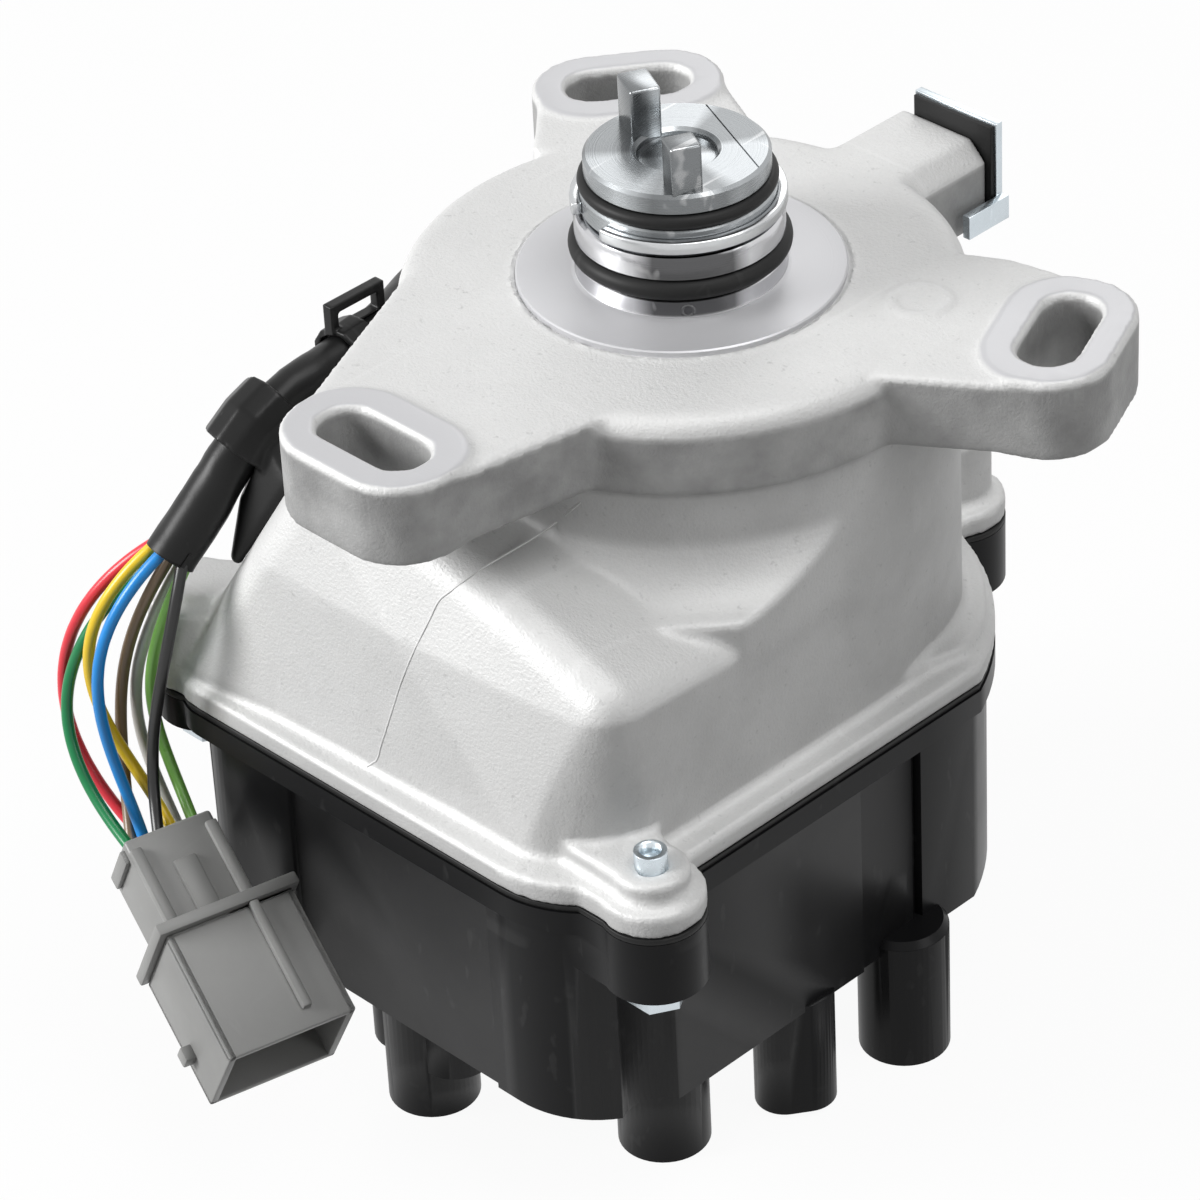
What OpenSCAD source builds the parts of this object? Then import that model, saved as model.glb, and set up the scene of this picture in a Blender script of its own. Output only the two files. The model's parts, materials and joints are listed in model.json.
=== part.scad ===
// Ignition distributor with internal coil, igniter and eight-wire lead.
// Origin: shaft axis on the mounting plane of the ears, +Z towards the drive coupling.

/* [Mounting plate] */
// Diameter of the round mounting plate
plate_d = 85.6; // [84:0.2:88]
// Thickness of the plate and of its three ears
plate_t = 13.5; // [12:0.5:15]
// Radius of the plate's rounded upper edge
plate_edge_r = 3; // [1:0.5:4]
// Height of the machined faces above the cast plate
land_h = 0.8; // [0.4:0.1:1.2]
// Diameter of the machined ring around the neck
land_d = 49.8; // [44:0.2:54]
// Width of an ear's slot, for an M8 bolt
slot_w = 9.2; // [8.4:0.2:10]
// Length of an ear's slot, end to end
slot_l = 20; // [14:0.5:21]
// Width of an ear
ear_w = 19.8; // [18:0.2:22]
// Length of an ear, end to end
ear_l = 30.6; // [29:0.2:34]
// Distance of the front ear's centre from the shaft
front_ear_r = 63; // [60:0.5:66]
// Distance of the right ear's centre from the shaft
right_ear_r = 59.2; // [57:0.2:62]
// Distance of the rear ear's centre from the shaft
rear_ear_r = 56.5; // [55:0.5:60]

/* [Neck] */
// Diameter of the machined neck that pilots in the cylinder head
neck_d = 31.6; // [30:0.2:34]
// Height of the neck above the mounting plane
neck_h = 10.4; // [9.5:0.1:12]
// Outer diameter of the neck's rubber ring
o_ring_d = 33.6; // [32.8:0.2:36]
// Section of the neck's rubber ring
o_ring_w = 3.2; // [2.8:0.1:3.6]

/* [Drive coupling] */
// Outer diameter of the coupling's skirt
skirt_d = 29.4; // [28:0.2:31]
// Diameter of the coupling's top disc
disc_d = 28; // [27:0.2:29]
// Height of the coupling without its tangs
coupling_h = 8.9; // [8.5:0.1:10]
// Height of the tangs above the disc
tang_h = 7.6; // [5:0.2:9]
// Width of a tang
tang_w = 4.8; // [4:0.2:6]
// Distance of the tangs' line from the shaft axis
tang_offset = 2.7; // [1.5:0.1:3.5]
// Diameter of the cross pin
pin_d = 3; // [2:0.1:3.2]

/* [Shaft and bearing] */
// Shaft diameter
shaft_d = 12; // [11:0.1:13]
// Outer diameter of the ball bearing
bearing_d = 28; // [27.6:0.2:30]
// Width of the ball bearing
bearing_w = 8; // [7.6:0.1:9]
// Diameter of a bearing ball
ball_d = 4.76; // [4.4:0.02:4.9]
// Radial clearance of a running fit
run_gap = 0.05; // [0.02:0.01:0.08]
// Gap between parts that pass each other
body_gap = 0.3; // [0.25:0.05:0.5]

/* [Sensors] */
// Tip diameter of the crank reluctor
crank_wheel_d = 33; // [31:0.2:34]
// Teeth on the crank reluctor
crank_teeth = 24; // [16:1:30]
// Tip diameter of the two smaller reluctors
small_wheel_d = 30; // [28:0.2:32]
// Air gap between a tooth and a pickup core
air_gap = 0.75; // [0.5:0.05:1]
// Diameter of a pickup bobbin
bobbin_d = 9; // [7:0.2:9.6]
// Diameter of a pickup core
core_d = 4; // [3:0.1:5]

/* [Housing] */
// Distance from the mounting plane down to the cap's seam
case_h = 67.5; // [66:0.5:70]
// Distance from the shaft to the front wall
front_y = 66; // [65:0.5:68]
// Distance from the shaft to the left wall
left_x = 52; // [51:0.5:54]
// Distance from the shaft to the right wall
right_x = 42.5; // [42:0.5:44]
// Radius of the rounded back wall
back_r = 46.5; // [45.5:0.5:48]
// Diameter of the cast tower under the plate
tower_d = 82.8; // [81:0.2:83.6]
// Wall thickness of the casting
wall = 3.2; // [2.8:0.1:3.6]
// Height of the flange at the seam
flange_h = 4; // [3:0.25:5]
// Width of the end block
block_w = 17.2; // [16:0.2:18]
// Distance from the shaft to the end block's face
block_y = 57.2; // [56:0.2:60]
// Thickness of the end block's cover plate
end_plate_t = 1.4; // [1:0.1:2]

/* [Cap] */
// Thickness of the seal in the seam
gasket_t = 1; // [0.6:0.1:1.4]
// Depth of the cap below the seal
cap_h = 40.5; // [40:0.5:44]
// Wall thickness of the cap
cap_wall = 3; // [2.6:0.1:3.4]
// Thickness of the cap's floor
cap_floor = 4; // [3.5:0.1:5]
// Height of a lead tower below the cap
tower_h = 21; // [19:0.5:24]
// Outer diameter of a lead tower
lead_tower_d = 14.6; // [14:0.2:15.2]
// Bore of a lead tower
socket_d = 9.2; // [8:0.2:10]
// Depth of a lead tower's bore
socket_depth = 18.5; // [15:0.5:18.5]
// Distance of the plug electrodes from the shaft
electrode_r = 33.5; // [33:0.1:34]

/* [Cap screws] */
// Thread diameter of the cap screws
screw_d = 5; // [4:0.5:5.5]
// Across-flats size of the cap screws
screw_af = 8; // [7:0.5:9]
// Height of a lug of the cap
cap_lug_h = 11; // [9.5:0.5:13]
// Radius of a lug
lug_r = 8; // [7.6:0.1:8.6]

/* [Coil and igniter] */
// Width of the ignition coil
coil_w = 26; // [22:0.5:27]
// Depth of the ignition coil
coil_l = 24; // [20:0.5:25]
// Height of the ignition coil
coil_h = 24; // [20:0.5:24.5]
// Width of the igniter module
igniter_w = 24; // [20:0.5:25]
// Depth of the igniter module
igniter_l = 18; // [16:0.5:19]
// Height of the igniter module
igniter_h = 10; // [8:0.5:11]
// Diameter of the coil and igniter screws
small_screw_d = 4; // [3:0.1:4.2]

/* [Lead] */
// Diameter of the harness sleeve
sleeve_d = 8.4; // [7.6:0.1:9]
// Diameter of one wire
wire_d = 1.9; // [1.6:0.1:2]
// Width of the connector
conn_w = 21.8; // [20:0.2:21.8]
// Thickness of the connector
conn_t = 18.2; // [17.4:0.2:18.6]
// Length of the connector's shroud
shroud_l = 22; // [20:0.5:23]
// Length of the connector's rear block
conn_rear_l = 16; // [15:0.5:17]
// Wall of the connector's shroud
shroud_t = 1.4; // [1:0.1:1.8]

/* [Hidden] */
$fn = 72;
eps = 0.01;

// Levels along the shaft
cast_z = -land_h;
plate_z = -plate_t;
seam_z = -case_h;
cap_top_z = seam_z - gasket_t;
cap_z = cap_top_z - cap_h;
floor_z = cap_z + cap_floor;
stand_z = cap_z - tower_h;
coupling_z = neck_h + 0.4;
coupling_top = coupling_z + coupling_h;
groove_z = coupling_z + 3.4;
groove_h = 2.2;
seal_top = -2;
shoulder_z = -8;
bearing_z = shoulder_z - bearing_w;
retainer_t = 1.5;
spacer_h = 5;
wheel_pitch = 8;
wheel_t = 3;
wheels_z = bearing_z - spacer_h;
ledge_z = seam_z + 3.5;
cover_t = 2;

// Directions of the three ears
ear_dir = [-90, 22.9, 143];
ear_r = [front_ear_r, right_ear_r, rear_ear_r];

// Casting outline at the seam: corner centres and radii
front_left = [-(left_x - 8), -(front_y - 8), 8];
front_right = [right_x - 19, -(front_y - 19), 19];
back_left = [-(left_x - 10), 26, 10];
step_in = 1.2;
cap_in = 1.4;
cap_corner = [-(left_x - 13), -(front_y - 13), 13];
form_z = seam_z + flange_h + 2.5;

// Shoulder posts of the body: x, y, radius and top above the seam
shoulder = [[-20, -(front_y - 16), 8, 52.5], [16, -(front_y - 14), 6, 43],
    [right_x - 8.5, -(front_y - 14), 6, 36.5], [right_x - 7.5, -6, 5.5, 28.5], [-34, 20, 8, 41.5]];
foot_z = seam_z + 36.5;

// Lugs for the cap screws: centre, centre of the web's root, height of the pad above the
// seam, height in the cap and height of the full outline above the seam
lugs = [[43.6, -54, 24, -54, 8, cap_lug_h, flange_h], [-51, -57.5, -36, -46, 17.5, 5.5, 15.5],
    [7.5, 52, 5, 34, 16.5, cap_lug_h, flange_h]];
pad_step = 2.2;
socket_r = screw_af * 0.8;

// Inside of the tower and the boss that holds the bearing
cavity_top = -6.5;
cavity_r = tower_d / 2 - wall;
boss_r = bearing_d / 2 + 5;
seal_d = 22;
bush_d = 16;
pitch_r = (shaft_d + bearing_d) / 4;
ball_n = 8;

// Pickup carrier ring on three bosses, with its screws
carrier_r = 24.5;
carrier_t = 3.5;
carrier_top = -20;
carrier_bolt_r = 32;
carrier_dir = [60, 180, 300];
pickup_dir = [105, 215, 345];
retainer_bolt_r = boss_r - 2.7;

// Coil, igniter and their screws
coil_x = -13.2;
coil_y = -44;
coil_top = seam_z + 29.5;
coil_ear_t = 3;
coil_screw_x = coil_w / 2 + 4;
coil_tower = [coil_x + 8.2, coil_y - 2];
igniter_x = 24;
igniter_y = -46;
igniter_top = seam_z + 17.5;
igniter_screw_x = 7.5;

// Cap: towers as x, y; electrodes as directions
towers = [[-7.6, -54.6], [27, -38], [39, 4.2], [-24, 31]];
electrode_dir = [215, 305, 35, 125];
vent = [36.6, -18.4];
end_screw_x = [-1.5, 6.5];
post_d = 5;
post_top = floor_z + 18;
strip_w = 4;
strip_t = 1.2;
strip_z = floor_z - 2.6;
arm_dir = 80;
arm_gap = 0.8;
arm_z = floor_z + 16;
arm_t = 6;
electrode_t = 1.2;
brush_d = 5;
brush_l = 10;
brush_top = arm_z - electrode_t - body_gap;
spring_z = strip_z + strip_t;

// Grommet boss on the tower's left side
grommet_dir = 163;
grommet_z = -21;
grommet_r = tower_d / 2 + 2.1;
grommet_d = 9.8;

// Route of the sleeve, from the grommet to the end where the wires come out, each point as its
// distance left of the tower's side, then y and z
sleeve_points = [[2.1, 13.3, -21], [6.1, 14.5, -21], [9.1, 13, -20.8], [10.6, 9, -20.4], [10.6, 3, -20],
    [8.6, -4, -19.4], [6.1, -11, -18.8], [3.6, -17.5, -18.6], [1.6, -25, -18.7], [0.6, -35, -19],
    [0.6, -44, -19.8], [0.8, -50, -22.2], [1.6, -54, -26], [2.6, -58, -31], [3.6, -62, -35.5],
    [4.6, -66, -40]];
sleeve_route = [for (p = sleeve_points) [-tower_d / 2 - p[0], p[1], p[2]]];

// Bore of the sleeve's open end, and how far inside the wires start
sleeve_bore = 7;
wire_start = 2.5;

// Connector leaning on the cap: front corner of its mouth, downward tilt and heading
conn_at = [-16.9, -92.25, -115.5];
conn_tilt = 31;
conn_yaw = -13.9;
conn_flange_t = 2;
conn_flange_out = 1.2;
conn_rear_y = [2, 17];
conn_rear_z = [2.5, 15];
conn_back = -shroud_l - conn_flange_t - conn_rear_l;
wire_y = [4.2, 7.6, 11, 14.4];
wire_z = [5, 12];
wire_in = 3;

// The eight wires: place in the sleeve, hole in the connector (column, row) and the two
// points that bend the curve on its way
red = [3, [2, 0], [-61, -83, -48], [-74, -76, -82]];
green = [4, [0, 1], [-59, -82, -53], [-69, -79, -77]];
yellow = [2, [2, 1], [-58, -90, -53], [-60, -66, -81]];
blue = [1, [1, 0], [-53, -89, -53], [-55, -72, -78]];
brown = [7, [0, 0], [-51, -78, -56], [-64, -65, -77]];
white = [5, [3, 0], [-51, -77, -61], [-66, -62, -82]];
lime = [6, [3, 1], [-46, -77, -59], [-61, -62, -76]];
black = [0, [1, 1], [-37, -79, -60], [-56, -67, -75]];
wire_rings = 15;

// Unit vector, and a vector square to the given one
function unit(v) = v / norm(v);
function side_of(v) = unit(cross(v, [0.31, 0.87, 0.12]));

// Direction of a route at point i
function heading(r, i) = unit(r[min(i + 1, len(r) - 1)] - r[max(i - 1, 0)]);

// Side vector carried along the route without twist
function carried(r, i) = i == 0 ? side_of(heading(r, 0)) :
    let (h = heading(r, i), s = carried(r, i - 1)) unit(s - (s * h) * h);

// Place of wire k in the sleeve's end: seven round one in the middle
function in_sleeve(k) =
    let (n = len(sleeve_route) - 1, h = heading(sleeve_route, n), s = side_of(h), t = cross(h, s))
    sleeve_route[n] - h * wire_start + (k == 7 ? [0, 0, 0] : 2.45 * (cos(k * 360 / 7) * s + sin(k * 360 / 7) * t));

// Point of the connector's own frame in the object's frame
function in_connector(x, y, z) =
    let (u = cos(conn_tilt) * x + sin(conn_tilt) * z)
    conn_at + [cos(conn_yaw) * u - sin(conn_yaw) * y, sin(conn_yaw) * u + cos(conn_yaw) * y,
        cos(conn_tilt) * z - sin(conn_tilt) * x];

// Smooth route of a wire from the sleeve to its hole in the connector
function wire_route(w) =
    let (a = in_sleeve(w[0]), d = in_connector(conn_back + wire_in, wire_y[w[1][0]], wire_z[w[1][1]]))
    [for (i = [0:wire_rings - 1]) let (t = i / (wire_rings - 1), u = 1 - t)
        u * u * u * a + 3 * u * u * t * w[2] + 3 * u * t * t * w[3] + t * t * t * d];

// Point between two neighbouring points of the sleeve's route
function on_sleeve(i, t) = sleeve_route[i] * (1 - t) + sleeve_route[i + 1] * t;

// Closed tube of n sides swept along a route
module tube(route, d, n) {
    rings = len(route);
    points = [for (i = [0:rings - 1])
        let (h = heading(route, i), s = carried(route, i), t = cross(h, s))
        for (k = [0:n - 1]) route[i] + d / 2 * (cos(360 * k / n) * s + sin(360 * k / n) * t)];
    walls = [for (i = [0:rings - 2], k = [0:n - 1])
        [i * n + k, i * n + (k + 1) % n, (i + 1) * n + (k + 1) % n, (i + 1) * n + k]];
    ends = [[for (k = [n - 1:-1:0]) k], [for (k = [0:n - 1]) (rings - 1) * n + k]];
    polyhedron(points, concat([for (w = walls) [w[3], w[2], w[1], w[0]]],
        [for (e = ends) [for (k = [n - 1:-1:0]) e[k]]]), convexity = 4);
}

// Flat shape with round ends, length along Y
module slot_2d(l, w) {
    for (s = [-1, 1])
        translate([0, s * (l - w) / 2])
            circle(d = w);
    square([w, l - w], center = true);
}

// Places children on ear i, with Y along the ear
module at_ear(i) {
    rotate(ear_dir[i])
        translate([ear_r[i], 0, 0])
            children();
}

// Places children on a circle of radius r at the given directions
module around(directions, r) {
    for (a = directions)
        rotate(a)
            translate([r, 0, 0])
                children();
}

// Ring between two radii
module ring(r_out, r_in, h) {
    difference() {
        cylinder(r = r_out, h = h);
        translate([0, 0, -1])
            cylinder(r = r_in, h = h + 2);
    }
}

// Outline of the casting and the cap, grown by g, with its front left corner
module outline_2d(g, corner = front_left) {
    for (c = [corner, front_right, back_left])
        translate([c[0], c[1]])
            circle(r = c[2] + g);
    intersection() {
        circle(r = back_r + g);
        translate([-left_x, -front_y])
            square([left_x + right_x + g, 2 * front_y]);
    }
    translate([corner[0], -front_y - g])
        square([front_right[0] - corner[0], front_y]);
    translate([-left_x - g, corner[1]])
        square([left_x, back_left[1] - corner[1]]);
    translate([0, front_right[1]])
        square([right_x + g, -front_right[1]]);
    translate([back_left[0], corner[1]])
        square([-back_left[0], back_left[1] + back_left[2] + g - corner[1]]);
}

// One screw lug in plan with its web, grown by g
module lug_2d(l, g = 0) {
    web = [l[0] - l[2], l[1] - l[3]];
    translate([l[0], l[1]])
        circle(r = lug_r + g);
    translate([l[2], l[3]])
        rotate(atan2(web[1], web[0]))
            translate([0, 0.6 - lug_r - g])
                square([norm(web), 2 * (lug_r + g) - 1.2]);
}

// Upper body of the casting, with sloping left side and shoulders, shrunk by g
module body_form(g) {
    hull() {
        for (c = [front_left, front_right, back_left])
            translate([c[0], c[1], form_z - 3])
                cylinder(r = c[2] - step_in - g, h = 3, $fn = 32);
        translate([0, 0, form_z - 3])
            cylinder(r = back_r - 5 - g, h = 3, $fn = 48);
        translate([0, 0, foot_z - 10 - g])
            cylinder(r = tower_d / 2 - 1 - g, h = 1, $fn = 48);
        for (k = [0:len(shoulder) - 1])
            translate([shoulder[k][0], shoulder[k][1], seam_z + shoulder[k][3] - shoulder[k][2]])
                sphere(r = shoulder[k][2] - g, $fn = 24 + 2 * k);
    }
}

// Concave foot between the cast tower and the body's shoulder
module tower_foot() {
    foot_r = 9;
    intersection() {
        rotate_extrude()
            translate([0, foot_z - foot_r])
                difference() {
                    square([tower_d / 2 + foot_r, 2 * foot_r]);
                    translate([tower_d / 2 + foot_r, 2 * foot_r])
                        circle(r = foot_r);
                }
        translate([-18, -(front_y - 10), form_z + 1])
            cube([right_x + 16, front_y - 14, foot_z - form_z + 15]);
    }
}

// Round plate with its rounded upper edge
module plate_disc() {
    height = plate_t - land_h;
    translate([0, 0, plate_z])
        rotate_extrude() {
            square([plate_d / 2 - plate_edge_r, height]);
            square([plate_d / 2, height - plate_edge_r]);
            translate([plate_d / 2 - plate_edge_r, height - plate_edge_r])
                circle(r = plate_edge_r, $fn = 32);
        }
}

// Cast arm between the plate and ear i, from points on both sides
module arm(points) {
    translate([0, 0, plate_z + 0.5])
        linear_extrude(height = plate_t - land_h - 0.5)
            polygon(points);
}

module end_block() {
    chamfer = 3;
    translate([-7.5, 30, -15])
        difference() {
            cube([block_w, block_y - 30, 15 + cast_z]);
            translate([block_w, -1, 15 + cast_z - chamfer])
                rotate([0, -45, 0])
                    cube([10, block_y, 10]);
        }
}

module housing_outside() {
    plate_disc();
    translate([0, 0, plate_z])
        cylinder(d = land_d, h = plate_t);
    cylinder(d = neck_d, h = neck_h);
    for (i = [0:2])
        at_ear(i)
            translate([0, 0, plate_z])
                linear_extrude(height = plate_t)
                    slot_2d(ear_l, ear_w);
    arm([[-15, -front_ear_r], [-30, -29], [20, -36], [15, -front_ear_r]]);
    arm([[right_ear_r + 1.3, 9.2], [42, -3], [26.7, 30], [35, 34.3], [41.6, 35.6], [48.5, 36.6]]);
    arm([[-54, 22.9], [-42.3, 10.2], [-17.5, 36.4], [-37.6, 46.4]]);
    translate([0, 0, form_z - 1])
        cylinder(d = tower_d, h = plate_z - form_z + 2);
    body_form(0);
    tower_foot();
    end_block();
    translate([0, 0, seam_z])
        linear_extrude(height = flange_h)
            outline_2d(0);
    translate([0, 0, seam_z])
        linear_extrude(height = flange_h + 2.5)
            outline_2d(-step_in);
    for (l = lugs) {
        translate([0, 0, seam_z])
            linear_extrude(height = l[6])
                lug_2d(l);
        translate([0, 0, seam_z])
            linear_extrude(height = l[4])
                lug_2d(l, -pad_step);
    }
    rotate(grommet_dir)
        translate([grommet_r - 8, 0, grommet_z])
            rotate([0, 90, 0])
                cylinder(r = 7.6, h = 8);
}

// Bosses inside the casting for the carrier, the coil and the igniter
module inner_bosses() {
    around(carrier_dir, carrier_bolt_r)
        translate([0, 0, carrier_top])
            cylinder(r = 4.5, h = cavity_top - carrier_top + 1);
    for (s = [-1, 1]) {
        translate([coil_x + s * coil_screw_x, coil_y, coil_top])
            cylinder(r = 3.8, h = 22);
        translate([igniter_x + s * igniter_screw_x, igniter_y, igniter_top])
            cylinder(r = 3.8, h = 24);
    }
}

module housing_inside() {
    difference() {
        union() {
            body_form(wall);
            translate([0, 0, ledge_z])
                linear_extrude(height = form_z - 3 - ledge_z + eps)
                    outline_2d(-6.5);
            translate([0, 0, form_z - 3])
                cylinder(r = cavity_r, h = cavity_top - form_z + 3);
        }
        intersection() {
            inner_bosses();
            translate([0, 0, form_z + 6])
                linear_extrude(height = -form_z - 6)
                    outline_2d(-1);
        }
        translate([0, 0, bearing_z])
            cylinder(r = boss_r, h = cavity_top - bearing_z + 1);
    }
    translate([0, 0, seam_z - 1])
        linear_extrude(height = ledge_z - seam_z + 1)
            outline_2d(-4.5);
}

module housing() {
    color("gainsboro")
        difference() {
            housing_outside();
            housing_inside();
            translate([0, 0, seal_top - 1])
                cylinder(d = bush_d, h = neck_h + 4);
            translate([0, 0, shoulder_z - 1])
                cylinder(d = seal_d, h = seal_top - shoulder_z + 1);
            translate([0, 0, bearing_z - 1])
                cylinder(d = bearing_d, h = bearing_w + 1);
            translate([0, 0, neck_h / 2 - 0.7 - o_ring_w / 2])
                ring(neck_d, o_ring_d / 2 - o_ring_w, o_ring_w + 0.4);
            for (i = [0:2])
                at_ear(i)
                    translate([0, 0, plate_z - 1])
                        linear_extrude(height = plate_t + 2)
                            slot_2d(slot_l, slot_w);
            around([-42], neck_d / 2 - 5)
                translate([0, 0, 1.3])
                    rotate([0, 90, 0])
                        cylinder(d = 2, h = 8);
            rotate(grommet_dir)
                translate([cavity_r - 4, 0, grommet_z])
                    rotate([0, 90, 0])
                        cylinder(d = grommet_d, h = 20);
            around(carrier_dir, carrier_bolt_r)
                translate([0, 0, carrier_top - 1])
                    cylinder(d = small_screw_d, h = 11);
            around([0, 120, 240], retainer_bolt_r)
                translate([0, 0, bearing_z - 1])
                    cylinder(d = 3, h = 8);
            for (s = [-1, 1]) {
                translate([coil_x + s * coil_screw_x, coil_y, coil_top - 1])
                    cylinder(d = small_screw_d, h = 9);
                translate([igniter_x + s * igniter_screw_x, igniter_y, igniter_top - 1])
                    cylinder(d = small_screw_d, h = 9);
            }
            for (l = lugs)
                translate([l[0], l[1], seam_z - 1])
                    cylinder(d = screw_d, h = 11.5);
            for (x = end_screw_x)
                translate([x, block_y - 9, -7.5])
                    rotate([-90, 0, 0])
                        cylinder(d = 3, h = 10);
        }
}

module neck_o_ring() {
    color("black")
        translate([0, 0, neck_h / 2 - 0.5])
            rotate_extrude()
                translate([(o_ring_d - o_ring_w) / 2, 0])
                    circle(d = o_ring_w, $fn = 24);
}

// One tang of the coupling from s0 to s1 along the tang line
module tang(s0, s1) {
    translate([s0, -tang_offset - tang_w / 2, coupling_top - 1])
        cube([s1 - s0, tang_w, tang_h + 1]);
}

module drive_coupling() {
    color("silver")
        difference() {
            union() {
                translate([0, 0, coupling_z])
                    cylinder(d = skirt_d, h = groove_z - coupling_z);
                translate([0, 0, groove_z])
                    cylinder(d = disc_d - 2.4, h = groove_h);
                translate([0, 0, groove_z + groove_h])
                    cylinder(d = disc_d, h = coupling_top - groove_z - groove_h);
                rotate(-26.6)
                    intersection() {
                        union() {
                            tang(-12, -5.5);
                            tang(8.5, 15);
                        }
                        cylinder(d = disc_d - 0.6, h = coupling_top + tang_h);
                    }
            }
            translate([0, 0, coupling_z - 1])
                cylinder(d = shaft_d, h = coupling_h + 2);
            translate([0, 0, coupling_z + 1.7])
                rotate([90, 0, 64])
                    cylinder(d = pin_d, h = skirt_d + 2, center = true);
        }
}

module coupling_pin() {
    color("dimgray")
        translate([0, 0, coupling_z + 1.7])
            rotate([90, 0, 64])
                cylinder(d = pin_d, h = skirt_d - 0.6, center = true);
}

module coupling_clip() {
    color("silver")
        translate([0, 0, coupling_z + 0.2])
            rotate(-92)
                rotate_extrude(angle = 330)
                    translate([skirt_d / 2, 0])
                        square([1.5, 2]);
}

module coupling_ring() {
    color("black")
        translate([0, 0, groove_z + groove_h / 2])
            rotate_extrude()
                translate([disc_d / 2 - 1.2 + groove_h / 2, 0])
                    circle(d = groove_h, $fn = 24);
}

module rotor_shaft() {
    color("silver")
        difference() {
            translate([0, 0, arm_z + 7])
                cylinder(d = shaft_d, h = coupling_top - 1.2 - arm_z - 7);
            translate([0, 0, coupling_z + 1.7])
                rotate([90, 0, 64])
                    cylinder(d = pin_d, h = shaft_d + 2, center = true);
            rotate(arm_dir)
                translate([shaft_d / 2 - 1.5, -shaft_d, arm_z + 6])
                    cube([shaft_d, 2 * shaft_d, 11]);
        }
}

module oil_seal() {
    color("saddlebrown")
        translate([0, 0, shoulder_z])
            ring(seal_d / 2, shaft_d / 2 + run_gap, seal_top - shoulder_z);
}

module neck_bush() {
    color("peru")
        translate([0, 0, seal_top])
            ring(bush_d / 2, shaft_d / 2 + run_gap, neck_h - seal_top - 1.4);
}

// Groove in the bearing rings, a little wider than the ball
module ball_groove() {
    rotate_extrude()
        translate([pitch_r, bearing_z + bearing_w / 2])
            circle(r = ball_d / 2 + run_gap, $fn = 32);
}

module bearing_outer_ring() {
    color("lightgray")
        difference() {
            translate([0, 0, bearing_z])
                ring(bearing_d / 2, pitch_r + ball_d * 0.3, bearing_w);
            ball_groove();
        }
}

module bearing_inner_ring() {
    color("lightgray")
        difference() {
            translate([0, 0, bearing_z])
                ring(pitch_r - ball_d * 0.3, shaft_d / 2, bearing_w);
            ball_groove();
        }
}

module ball_set(d) {
    around([for (k = [0:ball_n - 1]) k * 360 / ball_n], pitch_r)
        translate([0, 0, bearing_z + bearing_w / 2])
            sphere(d = d);
}

module bearing_cage() {
    color("goldenrod")
        difference() {
            translate([0, 0, bearing_z + bearing_w / 2 - 1.5])
                ring(pitch_r + ball_d * 0.3 - body_gap, pitch_r - ball_d * 0.3 + body_gap, 3);
            ball_set(ball_d);
        }
}

module bearing_balls() {
    color("white")
        ball_set(ball_d);
}

module bearing_retainer() {
    color("silver")
        translate([0, 0, bearing_z - retainer_t])
            difference() {
                ring(boss_r, bearing_d / 2 - 1.6, retainer_t);
                around([0, 120, 240], retainer_bolt_r)
                    translate([0, 0, -1])
                        cylinder(d = 3, h = retainer_t + 2);
            }
}

// Pan-head screw pointing up, head below z = 0
module pan_screw(d, l) {
    cylinder(d = d, h = l);
    translate([0, 0, -0.55 * d])
        difference() {
            cylinder(d = 1.8 * d, h = 0.55 * d);
            for (a = [0, 90])
                rotate(a)
                    translate([-d / 2, -d / 8, -1])
                        cube([d, d / 4, 1 + d / 4]);
        }
}

module retainer_screws() {
    color("silver")
        around([0, 120, 240], retainer_bolt_r)
            translate([0, 0, bearing_z - retainer_t])
                pan_screw(3, 7);
}

module shaft_spacer() {
    color("silver")
        translate([0, 0, wheels_z])
            ring(pitch_r - ball_d * 0.3 - 0.2, shaft_d / 2, spacer_h);
}

// Reluctor wheel on its hub: n teeth of width w at the rim
module reluctor(index, tip_d, root_d, n, w) {
    translate([0, 0, wheels_z - wheel_pitch * (index + 1)])
        difference() {
            union() {
                cylinder(r = shaft_d / 2 + 3, h = wheel_pitch);
                translate([0, 0, (wheel_pitch - wheel_t) / 2]) {
                    cylinder(d = root_d, h = wheel_t);
                    intersection() {
                        cylinder(d = tip_d, h = wheel_t);
                        for (k = [0:n - 1])
                            rotate(k * 360 / n)
                                translate([0, -w / 2, 0])
                                    cube([tip_d, w, wheel_t]);
                    }
                }
            }
            translate([0, 0, -1])
                cylinder(d = shaft_d, h = wheel_pitch + 2);
        }
}

module crank_reluctor() {
    color("gray")
        reluctor(0, crank_wheel_d, crank_wheel_d - 5, crank_teeth, 2);
}

module tdc_reluctor() {
    color("gray")
        reluctor(1, small_wheel_d, small_wheel_d - 6, 4, 3.2);
}

module cylinder_reluctor() {
    color("gray")
        reluctor(2, small_wheel_d, small_wheel_d - 6, 1, 3.2);
}

// Places children at pickup k, with +X outwards from the shaft
module at_pickup(k) {
    rotate(pickup_dir[k])
        translate([0, 0, wheels_z - wheel_pitch * (k + 0.5)])
            children();
}

function core_tip(k) = (k == 0 ? crank_wheel_d : small_wheel_d) / 2 + air_gap;

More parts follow.
